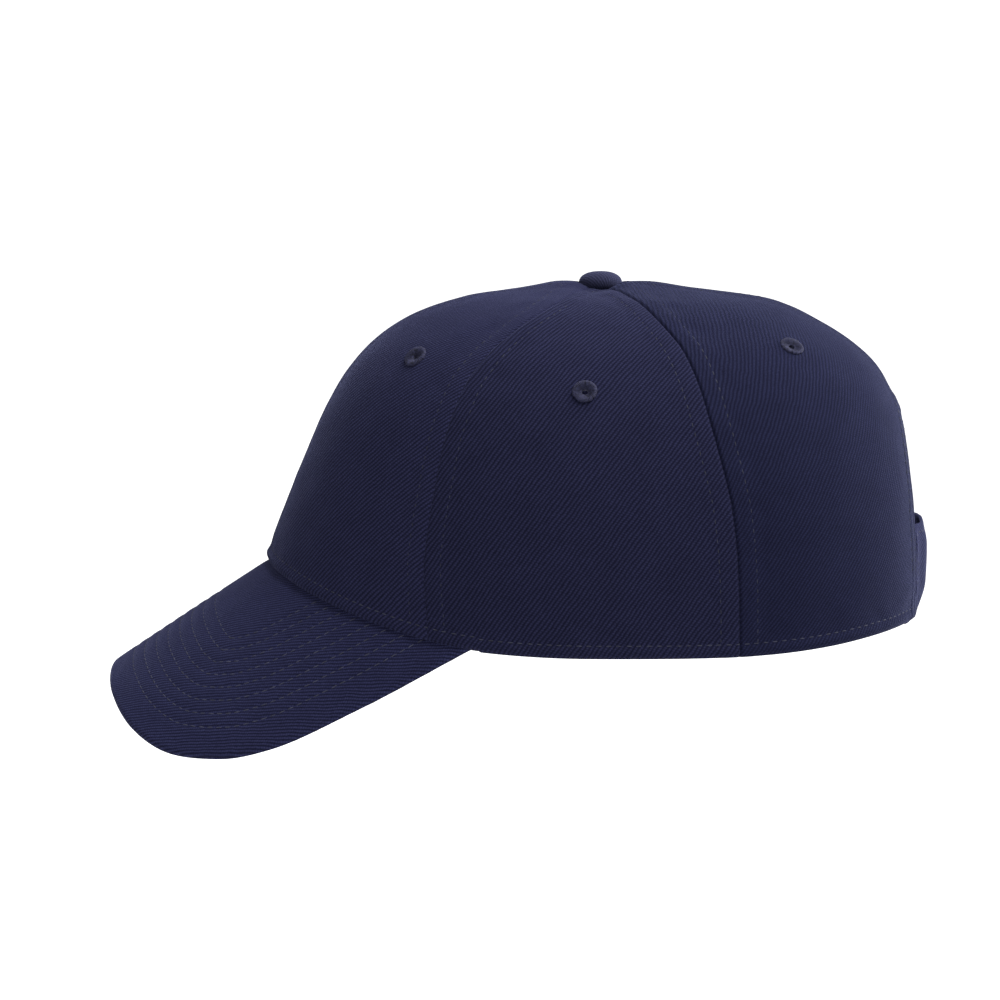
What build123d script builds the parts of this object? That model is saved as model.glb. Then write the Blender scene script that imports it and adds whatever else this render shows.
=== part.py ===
from build123d import *
import os
from math import atan2, cos, radians, sin

# Six-panel baseball cap with a pre-curved bill and a hook-and-loop strap at the back.
# Millimetres. +Z is up, the bill points to -Y and the wearer's left is +X.
# The origin is the centre of the head opening, level with the lowest edge of the crown.

os.makedirs("parts", exist_ok=True)

# Crown: level sections of its outside, as height, reach to the front, reach to the back, half width
CROWN_SECTIONS = [
    (-12.0, 115.0, 102.0, 77.5),
    (0.0, 112.5, 103.5, 77.5),
    (25.0, 107.0, 104.5, 77.0),
    (50.0, 98.0, 102.5, 73.5),
    (74.0, 88.0, 98.0, 65.5),
    (90.0, 77.5, 88.0, 55.0),
    (101.0, 64.0, 74.5, 42.5),
    (108.0, 47.0, 58.0, 30.0),
    (111.5, 30.0, 37.0, 19.0),
    (113.0, 8.0, 9.0, 6.0),
]
CROWN_HEIGHT = 113.0
OUTLINE_POINTS = 24
FRONT_ROUNDNESS = 2.0
BACK_ROUNDNESS = 2.5

# Cloth layers of the crown, each as its outer and inner depth below the outside
PANEL_LAYER = (0.0, 1.2)
BUCKRAM_LAYER = (1.3, 2.0)
TAPE_LAYER = (2.1, 2.9)
SWEATBAND_LAYER = (3.1, 4.7)

# Seams stand on upright planes through the crown's axis, at these angles from the front
FRONT_SEAM_ANGLE = 54.0
BACK_SEAM_ANGLE = 122.0
SEAM_GAP = 0.2
SEAM_TAPE_WIDTH = 20.0
SIDE_TAPE_START = 21.0

# Lower edge of the crown in side view, as distance along Y and height
RIM_LINE = [
    (-118.0, 26.5),
    (-107.0, 21.0),
    (-95.0, 15.0),
    (-80.0, 9.3),
    (-58.0, 4.3),
    (-35.0, 1.4),
    (-12.0, 0.1),
    (20.0, 0.0),
    (55.0, 0.1),
    (80.0, 1.4),
    (100.0, 4.0),
    (118.0, 7.0),
]
SWEATBAND_HEIGHT = 32.0
SWEATBAND_RIM_INSET = 0.5
SWEATBAND_ARCH_INSET = 1.0

# Back arch: an upright half ellipse on straight sides
ARCH_HALF_WIDTH = 22.0
ARCH_SHOULDER = 22.0
ARCH_TOP = 73.0
ARCH_BINDING_WIDTH = 7.0

# Bill: a flat board bent round rulings that slope down to the front
BILL_ROOT = (0, -107.0, 22.2)
BILL_SLOPE = 33.7
BILL_ARCH_HALF_WIDTH = 80.0
BILL_ARCH_HEIGHT = 94.0
BILL_CUT_MARGIN = 0.15
BILL_TAIL = -50.0
BILL_ROOT_DEPTH = 2.0
# Half of its outline, as distance from the middle and distance forward of the root
BILL_OUTLINE = [
    (0.0, 63.6),
    (30.0, 63.5),
    (48.2, 60.4),
    (58.5, 53.8),
    (65.8, 40.0),
    (69.4, 23.6),
    (71.6, -8.0),
    (73.0, -48.0),
]
BILL_OUTLINE_TANGENTS = [(1, 0), (0.01, -1)]
BILL_BOARD_MARGIN = 1.5
# Layers of the bill, each as its upper and lower depth below the top face
BILL_TOP_LAYER = (0.0, 0.8)
BILL_BOARD_LAYER = (0.9, 2.5)
BILL_UNDER_LAYER = (2.6, 3.4)

# Sewn eyelets
EYELET_RADIUS = 4.1
EYELET_HOLE_RADIUS = 1.1
EYELET_BARREL_RADIUS = 1.6
EYELET_EDGE_RADIUS = 0.2
EYELET_FLANGE = (0.05, 0.65)
EYELET_FRONT_DEPTH = 2.4
EYELET_DEPTH = 1.6
EYELET_CUT_DEPTH = 3.2
# Angle from the front and height of the eyelets on the left
EYELETS = {
    "front_left": (32.7, 91.1),
    "side_left": (89.1, 82.2),
    "back_left": (149.2, 95.0),
}

# Top button, a cloth-covered metal shell on a riveted shank
BUTTON_RADIUS = 7.2
BUTTON_HEIGHT = 4.6
BUTTON_CLOTH = 0.7
BUTTON_METAL = 0.5
BUTTON_BASE = CROWN_HEIGHT + 0.1
BUTTON_CURVE_TURNS = (0, 30, 60, 90)
SHANK_RADIUS = 1.5
SHANK_HOLE_RADIUS = 1.8
SHANK_LOWER_END = CROWN_HEIGHT - 5.2
SHANK_UPPER_END = CROWN_HEIGHT + 1.2
BUTTON_BACK_RADIUS = 5.5
BUTTON_BACK_THICKNESS = 1.2

# Back closure: layers on one gently curved upright sheet, each as its inner and outer height over it
CLOSURE_RADIUS = 130.0
CLOSURE_MIDDLE_Y = 104.5
CLOSURE_CENTRE_Y = CLOSURE_MIDDLE_Y - CLOSURE_RADIUS
TAB_LAYER = (-1.9, -0.5)
LOOP_LAYER = (-0.4, 0.3)
HOOK_LAYER = (0.6, 1.3)
STRAP_LAYER = (1.4, 2.8)
STRAP_TURN_LAYER = (-1.0, 2.8)
SEWN_END_LAYER = (2.1, 3.0)
# Where each layer begins and ends across the back, from the wearer's right to the left
STRAP_SPAN = (-21.4, 20.3)
STRAP_TURN_SPAN = (-21.4, -20.0)
TAB_SPAN = (-12.0, 21.6)
LOOP_SPAN = (-10.0, 17.0)
HOOK_SPAN = (-6.0, 16.5)
SEWN_END_SPAN = (-34.0, -22.6)
STRAP_BOTTOM = 4.5
STRAP_TOP = 36.0
STRAP_CORNER_RADIUS = 6.0
TAPE_EDGE = 2.0

REACH = 300.0
CROWN_MIDDLE = Plane.XY.offset(-REACH / 2)


def keep(piece, name):
    """Name a finished piece and write it."""
    piece.part.label = name
    export_step(piece.part, f"parts/{name}.step")


def signed_power(value, power):
    """Raise the size of a number to a power and keep its sign."""
    size = abs(value) ** power
    return size if value >= 0 else -size


def keep_pair(piece, name):
    """Write a piece of the left side and its mirror image on the right."""
    keep(piece, name)
    with BuildPart() as opposite:
        mirror(piece.part, about=Plane.YZ)
    keep(opposite, name.replace("left", "right"))


def crown_outline(front, back, half_width):
    """Points of one level section, rounder at the front and squarer at the back."""
    points = []
    for step in range(OUTLINE_POINTS):
        angle = radians(360 * step / OUTLINE_POINTS)
        forward = cos(angle) > 0
        roundness = FRONT_ROUNDNESS if forward else BACK_ROUNDNESS
        reach = front if forward else back
        across = half_width * signed_power(sin(angle), 2 / roundness)
        along = -reach * signed_power(cos(angle), 2 / roundness)
        points.append((across, along))
    return points


def crown_dome(depth):
    """The solid inside the surface that lies this deep below the crown's outside."""
    with BuildPart() as dome:
        for height, front, back, half_width in CROWN_SECTIONS:
            level = height * (1 - depth / CROWN_HEIGHT)
            with BuildSketch(Plane.XY.offset(level)):
                with BuildLine():
                    Spline(*crown_outline(front - depth, back - depth, half_width - depth), periodic=True)
                make_face()
        loft()
    return dome.part


def above_rim(lift, height):
    """A block above the crown's lower edge, lifted from it, and this high."""
    with BuildPart() as block:
        with BuildSketch(Plane.YZ):
            with BuildLine():
                lower = Spline(*[(along, level + lift) for along, level in RIM_LINE])
                upper = Spline(*[(along, level + lift + height) for along, level in RIM_LINE])
                Line(lower @ 0, upper @ 0)
                Line(lower @ 1, upper @ 1)
            make_face()
        extrude(amount=REACH / 2, both=True)
    return block.part


def arch_block(margin):
    """The upright space through the back arch, wider than it by a margin."""
    half_width = ARCH_HALF_WIDTH + margin
    with BuildPart() as block:
        with BuildSketch(Plane.XZ):
            with Locations((0, ARCH_SHOULDER)):
                Ellipse(half_width, ARCH_TOP - ARCH_SHOULDER + margin)
            with Locations((0, ARCH_SHOULDER - REACH / 2)):
                Rectangle(2 * half_width, REACH)
        extrude(amount=-REACH)
    return block.part


def bill_plane():
    """The plane across the bill at its root, facing down its slope."""
    slope = radians(BILL_SLOPE)
    return Plane(origin=BILL_ROOT, x_dir=(1, 0, 0), z_dir=(0, -cos(slope), -sin(slope)))


def bill_plan_plane():
    """The plane that the bill's outline is drawn on, with Y forward along the slope."""
    slope = radians(BILL_SLOPE)
    return Plane(origin=BILL_ROOT, x_dir=(1, 0, 0), z_dir=(0, sin(slope), -cos(slope)))


def bill_bend(upper_depth, lower_depth):
    """A bent sheet between two depths below the bill's top face, before it is trimmed."""
    with BuildPart() as bend:
        with BuildSketch(bill_plane().offset(BILL_TAIL)):
            with Locations((0, -BILL_ARCH_HEIGHT)):
                Ellipse(BILL_ARCH_HALF_WIDTH - upper_depth, BILL_ARCH_HEIGHT - upper_depth)
                Ellipse(
                    BILL_ARCH_HALF_WIDTH - lower_depth,
                    BILL_ARCH_HEIGHT - lower_depth,
                    mode=Mode.SUBTRACT,
                )
                with Locations((0, -REACH / 2)):
                    Rectangle(REACH, REACH, mode=Mode.SUBTRACT)
        extrude(amount=REACH)
    return bend.part


def space_under_bill():
    """Everything from just over the bill's top face downwards."""
    with BuildPart() as space:
        with BuildSketch(bill_plane().offset(BILL_TAIL)):
            with Locations((0, -BILL_ARCH_HEIGHT)):
                Ellipse(BILL_ARCH_HALF_WIDTH + BILL_CUT_MARGIN, BILL_ARCH_HEIGHT + BILL_CUT_MARGIN)
        extrude(amount=REACH)
    return space.part


def bill_outline_block(depth, margin):
    """The bill's outline at a depth below its top face, drawn in by a margin, as a deep block."""
    narrowing = 1 - (depth + margin) / BILL_ARCH_HALF_WIDTH
    outline = [(across * narrowing, along - margin) for across, along in BILL_OUTLINE]
    with BuildPart() as block:
        with BuildSketch(bill_plan_plane()):
            with BuildLine():
                edge = Spline(*outline, tangents=BILL_OUTLINE_TANGENTS)
                Line(edge @ 1, (0, outline[-1][1]))
                mirror(about=Plane.YZ)
            make_face()
        extrude(amount=REACH / 2, both=True)
    return block.part


def sector(start, end):
    """An upright wedge between two angles, which are measured from the front to the left."""
    corners = [(0, 0)]
    for angle in (start, (start + end) / 2, end):
        corners.append((REACH * sin(radians(angle)), -REACH * cos(radians(angle))))
    with BuildPart() as wedge:
        with BuildSketch(CROWN_MIDDLE):
            Polygon(*corners, align=None)
            offset(amount=-SEAM_GAP / 2, kind=Kind.INTERSECTION)
        extrude(amount=2 * REACH)
    return wedge.part


def slab(angle, width, start):
    """An upright slab along one seam, from a distance off the crown's axis outwards."""
    with BuildPart() as block:
        with BuildSketch(CROWN_MIDDLE):
            with Locations(Location((0, 0, 0), (0, 0, angle - 90))):
                with Locations((start + REACH / 2, 0)):
                    Rectangle(REACH, width)
        extrude(amount=2 * REACH)
    return block.part


def closure_sheet(layer, span, edge=0.0):
    """One layer of the closure, drawn in from the strap's long edges."""
    inner, outer = (CLOSURE_RADIUS + height for height in layer)
    start, end = (atan2(across, inner) for across in span)
    with BuildPart() as sheet:
        with BuildSketch(Plane.XY.offset(STRAP_BOTTOM + edge)):
            with Locations((0, CLOSURE_CENTRE_Y)):
                Circle(outer)
                Circle(inner, mode=Mode.SUBTRACT)
                Polygon(
                    (0, 0),
                    (REACH * sin(start), REACH * cos(start)),
                    (REACH * sin(end), REACH * cos(end)),
                    align=None,
                    mode=Mode.INTERSECT,
                )
        extrude(amount=STRAP_TOP - STRAP_BOTTOM - 2 * edge)
    return sheet.part


def crown_shell(layer):
    """One whole cloth layer of the crown, open at the rim, over the bill and at the arch."""
    outer_depth, inner_depth = layer
    with BuildPart() as shell:
        add(crown_dome(outer_depth))
        add(crown_dome(inner_depth), mode=Mode.SUBTRACT)
        add(above_rim(0, REACH), mode=Mode.INTERSECT)
        add(space_under_bill(), mode=Mode.SUBTRACT)
        add(arch_block(0), mode=Mode.SUBTRACT)
        with BuildSketch(Plane.XY):
            Circle(SHANK_HOLE_RADIUS)
        extrude(amount=REACH, mode=Mode.SUBTRACT)
    return shell.part


def eyelet_planes():
    """The plane of each eyelet, touching the crown's outside and facing out."""
    outside = crown_dome(0)
    planes = {}
    for place, (angle, height) in EYELETS.items():
        outwards = (sin(radians(angle)), -cos(radians(angle)), 0)
        point, normal = outside.find_intersection_points(Axis((0, 0, height), outwards))[-1]
        if normal.dot(Vector(outwards)) < 0:
            normal = -normal
        planes[place] = Plane(origin=point, z_dir=normal)
    return planes


def pierced(shell, planes):
    """A cloth layer with its eyelet holes."""
    with BuildPart() as layer:
        add(shell)
        for plane in planes.values():
            with BuildSketch(plane):
                Circle(EYELET_BARREL_RADIUS + SEAM_GAP / 2)
            extrude(amount=EYELET_CUT_DEPTH, both=True, mode=Mode.SUBTRACT)
    return layer.part


# The six gores of the crown, modelled on the left and mirrored
GORES = {
    "front_left": (0, FRONT_SEAM_ANGLE),
    "side_left": (FRONT_SEAM_ANGLE, BACK_SEAM_ANGLE),
    "back_left": (BACK_SEAM_ANGLE, 180),
}
eyelet_place = eyelet_planes()
outer_cloth = pierced(crown_shell(PANEL_LAYER), eyelet_place)
for place, (start_angle, end_angle) in GORES.items():
    with BuildPart() as panel:
        add(outer_cloth)
        add(sector(start_angle, end_angle), mode=Mode.INTERSECT)
    keep_pair(panel, f"{place}_panel")

# Stiff mesh behind the two front gores
with BuildPart() as buckram:
    add(pierced(crown_shell(BUCKRAM_LAYER), eyelet_place))
    add(sector(*GORES["front_left"]), mode=Mode.INTERSECT)
keep_pair(buckram, "front_left_buckram")

# Tapes over the seams, inside: one from front to back and one down each of the other four
seam_cover = crown_shell(TAPE_LAYER)
with BuildPart() as centre_seam_tape:
    add(seam_cover)
    add(slab(0, SEAM_TAPE_WIDTH, -REACH / 2), mode=Mode.INTERSECT)
keep(centre_seam_tape, "centre_seam_tape")

for place, seam_angle in (("front_left", FRONT_SEAM_ANGLE), ("back_left", BACK_SEAM_ANGLE)):
    with BuildPart() as seam_tape:
        add(seam_cover)
        add(slab(seam_angle, SEAM_TAPE_WIDTH, SIDE_TAPE_START), mode=Mode.INTERSECT)
    keep_pair(seam_tape, f"{place}_seam_tape")

# Sweatband along the rim, ending at the back arch
with BuildPart() as sweatband:
    add(crown_dome(SWEATBAND_LAYER[0]))
    add(crown_dome(SWEATBAND_LAYER[1]), mode=Mode.SUBTRACT)
    add(above_rim(SWEATBAND_RIM_INSET, SWEATBAND_HEIGHT), mode=Mode.INTERSECT)
    add(arch_block(SWEATBAND_ARCH_INSET), mode=Mode.SUBTRACT)
keep(sweatband, "sweatband")

# Facing round the back arch
with BuildPart() as arch_binding:
    add(crown_shell(BUCKRAM_LAYER))
    add(arch_block(ARCH_BINDING_WIDTH), mode=Mode.INTERSECT)
keep(arch_binding, "arch_binding")

# Sewn eyelets: a raised ring on the cloth and a thin barrel through it
for place, plane in eyelet_place.items():
    depth = EYELET_FRONT_DEPTH if place.startswith("front") else EYELET_DEPTH
    low, high = EYELET_FLANGE
    with BuildPart() as eyelet:
        with BuildSketch(plane.offset(low)):
            Circle(EYELET_RADIUS)
        extrude(amount=high - low)
        with BuildSketch(plane.offset(-depth)):
            Circle(EYELET_BARREL_RADIUS)
        extrude(amount=depth + high)
        with BuildSketch(plane.offset(-depth)):
            Circle(EYELET_HOLE_RADIUS)
        extrude(amount=depth + high, mode=Mode.SUBTRACT)
        rim_edges = eyelet.edges().group_by(SortBy.LENGTH)[-1]
        fillet(rim_edges, radius=EYELET_EDGE_RADIUS)
    keep_pair(eyelet, f"eyelet_{place}")


def button_curve(depth):
    """A quarter of the button's outline, at a depth below its outside, from its foot to its top."""
    wide = BUTTON_RADIUS - depth
    high = BUTTON_HEIGHT - depth
    angles = [radians(turn) for turn in BUTTON_CURVE_TURNS]
    points = [(wide * cos(angle), BUTTON_BASE + high * sin(angle)) for angle in angles[:-1]]
    return points + [(0, BUTTON_BASE + high)]


def button_skin(name, outer_depth, inner_depth):
    """One dome-shaped layer of the top button."""
    upwards_then_in = [(0, 1), (-1, 0)]
    with BuildPart() as skin:
        with BuildSketch(Plane.XZ):
            with BuildLine():
                outside = Spline(*button_curve(outer_depth), tangents=upwards_then_in)
                inside = Spline(*button_curve(inner_depth), tangents=upwards_then_in)
                Line(outside @ 0, inside @ 0)
                Line(outside @ 1, inside @ 1)
            make_face()
        revolve(axis=Axis.Z)
    keep(skin, name)


button_skin("button_cover", 0, BUTTON_CLOTH)
button_skin("button_shell", BUTTON_CLOTH, BUTTON_CLOTH + BUTTON_METAL)

with BuildPart() as button_back:
    with BuildSketch(Plane.XY.offset(SHANK_LOWER_END)):
        Circle(BUTTON_BACK_RADIUS)
    extrude(amount=BUTTON_BACK_THICKNESS)
    with BuildSketch(Plane.XY.offset(SHANK_LOWER_END)):
        Circle(SHANK_RADIUS)
    extrude(amount=SHANK_UPPER_END - SHANK_LOWER_END)
keep(button_back, "button_back")


def bill_layer(name, layer, margin):
    """One layer of the bill, trimmed to its outline and to the crown."""
    with BuildPart() as sheet:
        add(bill_bend(*layer))
        add(bill_outline_block(sum(layer) / 2, margin), mode=Mode.INTERSECT)
        add(crown_dome(BILL_ROOT_DEPTH), mode=Mode.SUBTRACT)
    keep(sheet, name)


bill_layer("visor_top_cover", BILL_TOP_LAYER, 0)
bill_layer("visor_board", BILL_BOARD_LAYER, BILL_BOARD_MARGIN)
bill_layer("visor_under_cover", BILL_UNDER_LAYER, 0)

# Fixed half of the closure: the tab with its loop tape
with BuildPart() as closure_tab:
    add(closure_sheet(TAB_LAYER, TAB_SPAN))
keep(closure_tab, "closure_tab")

with BuildPart() as loop_tape:
    add(closure_sheet(LOOP_LAYER, LOOP_SPAN, TAPE_EDGE))
keep(loop_tape, "loop_tape")

# Moving half: the strap, its turn round the arch's edge and its hook tape
with BuildPart() as closure_strap:
    add(closure_sheet(STRAP_LAYER, STRAP_SPAN))
    free_end = closure_strap.faces().sort_by(Axis.X)[-1]
    fillet(free_end.edges().sort_by(SortBy.LENGTH)[:2], radius=STRAP_CORNER_RADIUS)
    add(closure_sheet(STRAP_TURN_LAYER, STRAP_TURN_SPAN))
keep(closure_strap, "closure_strap")

with BuildPart() as hook_tape:
    add(closure_sheet(HOOK_LAYER, HOOK_SPAN, TAPE_EDGE))
keep(hook_tape, "hook_tape")

# The strap's stitched end, which stays under the right back gore
with BuildPart() as strap_sewn_end:
    add(crown_shell(SEWN_END_LAYER))
    with BuildSketch(Plane.XY.offset(STRAP_BOTTOM)):
        with Locations((SEWN_END_SPAN[0], 0)):
            Rectangle(
                SEWN_END_SPAN[1] - SEWN_END_SPAN[0],
                REACH,
                align=(Align.MIN, Align.MIN),
            )
    extrude(amount=STRAP_TOP - STRAP_BOTTOM, mode=Mode.INTERSECT)
keep(strap_sewn_end, "strap_sewn_end")
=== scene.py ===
import math

import bpy
import numpy as np
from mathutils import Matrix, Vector


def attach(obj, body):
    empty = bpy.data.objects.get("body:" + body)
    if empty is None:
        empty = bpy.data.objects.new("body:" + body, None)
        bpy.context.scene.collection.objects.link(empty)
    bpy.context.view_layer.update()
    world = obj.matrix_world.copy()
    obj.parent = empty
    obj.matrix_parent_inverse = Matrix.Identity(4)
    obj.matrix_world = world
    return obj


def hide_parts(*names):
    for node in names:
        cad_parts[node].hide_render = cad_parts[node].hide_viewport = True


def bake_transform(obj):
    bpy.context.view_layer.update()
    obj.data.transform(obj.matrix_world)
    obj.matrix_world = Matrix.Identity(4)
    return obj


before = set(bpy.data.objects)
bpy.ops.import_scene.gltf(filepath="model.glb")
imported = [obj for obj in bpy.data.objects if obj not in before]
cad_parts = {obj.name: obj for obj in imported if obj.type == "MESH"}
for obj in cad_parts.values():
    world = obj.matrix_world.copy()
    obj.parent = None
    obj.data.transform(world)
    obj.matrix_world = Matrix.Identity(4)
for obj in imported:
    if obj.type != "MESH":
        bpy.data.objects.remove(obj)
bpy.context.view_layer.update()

# The looks of a six-panel cap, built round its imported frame. Lengths are in millimetres up to
# the moment a mesh is written, and MM turns them into metres. A place on the crown is an angle
# from the front towards the wearer's left, and "along", a distance up the crown's side line.

MM = 0.001
FAR = 1000.0

# ------------ sizes

# Level sections of the crown's outside: height, reach to the front, reach to the back, half width
CROWN_SECTIONS = np.array([
    (-12.0, 115.0, 101.0, 77.5),
    (0.0, 112.5, 103.4, 77.5),
    (12.0, 110.0, 105.2, 77.4),
    (25.0, 107.0, 105.6, 77.0),
    (50.0, 98.0, 103.6, 73.5),
    (74.0, 87.6, 97.6, 65.5),
    (90.0, 76.8, 86.6, 55.0),
    (101.0, 62.3, 71.0, 41.5),
    (107.5, 45.5, 56.0, 28.5),
    (110.2, 31.0, 38.0, 18.5),
    (111.5, 18.0, 22.0, 12.0),
    (112.3, 8.5, 9.5, 6.5),
    (112.6, 1.5, 1.5, 1.2),
])
FRONT_ROUNDNESS = 2.0
BACK_ROUNDNESS = 2.5
FRONT_SEAM = math.radians(54)
BACK_SEAM = math.radians(122)
SEAMS = (0.0, FRONT_SEAM, BACK_SEAM, math.pi, -BACK_SEAM, -FRONT_SEAM)

# How far the front and back seams wander from their planes: height and degrees
FRONT_WANDER = np.array([
    (0, 0.8), (5, 0.6), (30, -1.1), (50, -0.8), (68, -1.1), (85, -0.4), (95, 2.4), (102, 7.0),
    (108, 13.0), (112, 16.0),
])
BACK_WANDER = np.array([
    (0, 1.4), (33, 1.2), (48, 0.8), (63, -0.3), (74, -0.9), (87, -1.0), (96, -1.1), (103, -2.4),
    (112, -3.0),
])
# The seams that wander, with the angle beside each over which the cloth follows it
WANDERS = ((FRONT_SEAM, math.radians(34), FRONT_WANDER), (BACK_SEAM, math.radians(26), BACK_WANDER))

# Lower edge of the crown in side view: distance along Y and height. The cloth ends a little above
# this line, and above the bill's top face where that is higher
RIM_LINE = np.array([
    (-118.0, 26.5), (-107.0, 21.0), (-95.0, 15.0), (-80.0, 9.3), (-58.0, 4.3), (-35.0, 1.4),
    (-12.0, 0.1), (20.0, 0.0), (50.0, 0.4), (66.0, 1.3), (80.0, 2.7), (100.0, 5.6), (118.0, 8.6),
])
RIM_LIFT = 0.6
OVER_BILL = 1.1
RIM_SEARCH = 60.0

# The back arch: straight sides up to its shoulder, then half an ellipse, and two rows of stitches
ARCH_HALF_WIDTH = 22.0
ARCH_SHOULDER = 22.0
ARCH_TOP = 73.0
ARCH_ROWS = (1.8, 5.2)

# The bill is a flat board bent round rulings that slope down to the front. Its outline is
# half width and reach forward
BILL_ROOT = np.array([0.0, -107.0, 22.2])
BILL_SLOPE = math.radians(33.7)
BILL_FORWARD = np.array([0.0, -math.cos(BILL_SLOPE), -math.sin(BILL_SLOPE)])
BILL_UP = np.array([0.0, -math.sin(BILL_SLOPE), math.cos(BILL_SLOPE)])
BILL_ARCH_HALF_WIDTH = 80.0
BILL_ARCH_HEIGHT = 94.0
BILL_OUTLINE = np.array([
    (0.0, 63.6), (30.0, 63.5), (48.2, 60.4), (58.5, 53.8), (65.8, 40.0), (69.4, 23.6),
    (71.6, -8.0), (73.0, -48.0),
])
BILL_THICKNESS = 3.4
BILL_EDGE_RADIUS = BILL_THICKNESS / 2
BILL_EDGE_CLOSE = 0.08
BILL_TUCK = 2.2
BILL_REACH_BACK = 50.0
BILL_ROWS = 8
BILL_FIRST_ROW = 10.0
BILL_ROW_STEP = 4.65
BILL_STITCH_LENGTH = 2.6
BOARD_DEPTHS = (1.3, 2.2)
BOARD_FIRST_STEP = 8

# Cloth and thread
CLOTH = 1.2
SEAM_STITCH_OFFSET = 5.5
HEM_STITCH_OFFSET = 3.8
STITCH_PITCH = 3.1
STITCH_LENGTH = 2.2
THREAD_RADIUS = 0.2

# Relief of the cloth: how deep each seam lies, how far doubled cloth stands up and reaches from
# a seam, from the hem and from the arch, and how wide a groove a row of stitches pulls
SEAM_GROOVES = (0.55, 0.3, 0.7, 0.55, 0.7, 0.3)
DOUBLED_LIFT = 0.3
SEAM_ALLOWANCE = 6.3
HEM_WIDTH = 4.3
ARCH_HEM_WIDTH = 5.8
STITCH_GROOVE = 0.6
# Soft dips and swells round the button: height, place across and back, reach across and back
BUTTON_SWELLS = (
    (-2.4, 0.0, 1.0, 7.5, 5.0), (-1.1, 9.0, 1.0, 6.5, 6.5), (1.7, 0.0, 17.0, 9.0, 12.0),
    (1.3, 0.0, -13.0, 9.0, 8.0),
)
# Folds of the cloth over the back arch: height, place above the first fold and reach up
ARCH_FOLDS = ((-0.3, 0.0, 3.0), (0.35, 9.0, 5.0))
FOLD_HEIGHT = 79.0
FOLD_DROP = 0.16
FOLD_REACH = 40.0

# Spacing of the grids' points: close together by a side edge, the rim and the bill's outline, and
# even elsewhere
NEAR_EDGE = np.array([0, 0.15, 0.35, 0.6, 0.9, 1.3, 1.8, 2.5, 3.4, 4.4, 5.0, 5.5, 6.0, 6.7, 8.0])
NEAR_RIM = np.array([0, 0.2, 0.5, 1.0, 1.8, 2.7, 3.3, 3.8, 4.3, 5.0, 6.2])
NEAR_BILL_EDGE = np.array([0, 0.05, 0.18, 0.4, 0.7, 1.1, 1.6, 2.2, 3.0, 4.0, 5.0, 6.0])
TOP_RADIUS = 3.0
ROW_STEP = 1.15
COLUMN_STEP = 1.25
ARCH_SHARE = 0.60

# Eyelets: the angle and height of each one's middle, and how far it reaches into the crown
EYELETS = {
    "front": (math.radians(32.4), 91.1, 2.05),
    "side": (math.radians(89.1), 82.2, 1.25),
    "back": (math.radians(150.0), 94.9, 1.25),
}
EYELET_RADIUS = 3.9
EYELET_HOLE_RADIUS = 0.95
EYELET_RIDGES = 38
GORE_HOLE = 1.9
BUCKRAM_HOLE = 1.6

BUTTON_MIDDLE = np.array([0.0, 1.0, 0.0])
BUTTON_BASE = 112.6
BUTTON_RADIUS = 7.05
BUTTON_HEIGHT = 3.9
BUTTON_BELOW = 3.3
SHELL_RADIUS = 0.84 * BUTTON_RADIUS
SHELL_HEIGHT = 3.1
SHELL_BELOW = 1.9
WASHER_BASE = 106.6
WASHER_RADIUS = 5.6
WASHER_HEIGHT = 1.0
WASHER_BELOW = 0.5

# Layers inside the crown: depths of their outer and inner faces below its outside
TAPE_DEPTHS = (2.1, 2.9)
LINING_DEPTHS = (1.3, 2.0)
BAND_DEPTHS = (3.1, 4.5)
TAPE_OFFSETS = np.linspace(-9.8, 9.8, 25)
TAPE_TOP_RADIUS = 21.0
SWEATBAND_HEIGHT = 32.0
FACING_OFFSETS = (0.15, 1.2, 2.5, 4.0, 5.5, 6.9)

# The closure lies on an upright cylinder behind the arch. A span is from and to across the back,
# and a lift is how far a strip's middle stands out from the cylinder
CLOSURE_RADIUS = 130.0
CLOSURE_CENTRE_Y = 104.5 - CLOSURE_RADIUS
STRAP_LOW = 5.6
STRAP_HIGH = 36.0
STRAP_START = -34.0
STRAP_BEND = (-24.0, -17.0)
STRAP_END = 20.3
STRAP_LIFT = 2.1
STRAP_THICKNESS = 1.4
STRAP_CORNER = 6.0
STRAP_INSET = 2.3
STRAP_STITCH_START = -17.5
TAB_SPAN = (-12.0, 27.5)
TAB_LIFT = -1.2
TAB_THICKNESS = 1.3
TAB_MARGIN = 0.1
PATCH_LOW = 7.0
PATCH_HIGH = 33.5
LOOP_SPAN = (-10.0, 11.5)
LOOP_LIFT = -0.05
LOOP_THICKNESS = 0.75
HOOK_SPAN = (-6.0, 8.5)
HOOK_LIFT = 0.95
HOOK_THICKNESS = 0.7
SEWN_HEIGHT = 19.0
SEWN_DEPTH = -2.6

# ------------ small tools


def smooth_through(points, count):
    """Points of a smooth curve through the given rows."""
    chord = np.linalg.norm(np.diff(points, axis=0), axis=1)
    knots = np.concatenate([[0], np.cumsum(np.sqrt(chord))])
    slopes = np.gradient(points, knots, axis=0)
    at = np.linspace(0, knots[-1], count)
    cell = np.clip(np.searchsorted(knots, at, side="right") - 1, 0, len(knots) - 2)
    width = (knots[cell + 1] - knots[cell])[:, None]
    t = (at - knots[cell])[:, None] / width
    return (
        (2 * t**3 - 3 * t**2 + 1) * points[cell]
        + (t**3 - 2 * t**2 + t) * width * slopes[cell]
        + (3 * t**2 - 2 * t**3) * points[cell + 1]
        + (t**3 - t**2) * width * slopes[cell + 1]
    )


def look_up(value, table):
    """The second column of a table, at values of its first column."""
    return np.interp(value, table[:, 0], table[:, 1])


def run_length(points):
    """Distance along a row of points, starting at 0."""
    return np.concatenate([[0], np.cumsum(np.linalg.norm(np.diff(points, axis=0), axis=1))])


def rows_at(at, run, rows):
    """Rows of numbers at places along a line, where run holds the place of each given row."""
    return np.stack([np.interp(at, run, column) for column in rows.T], -1)


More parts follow.
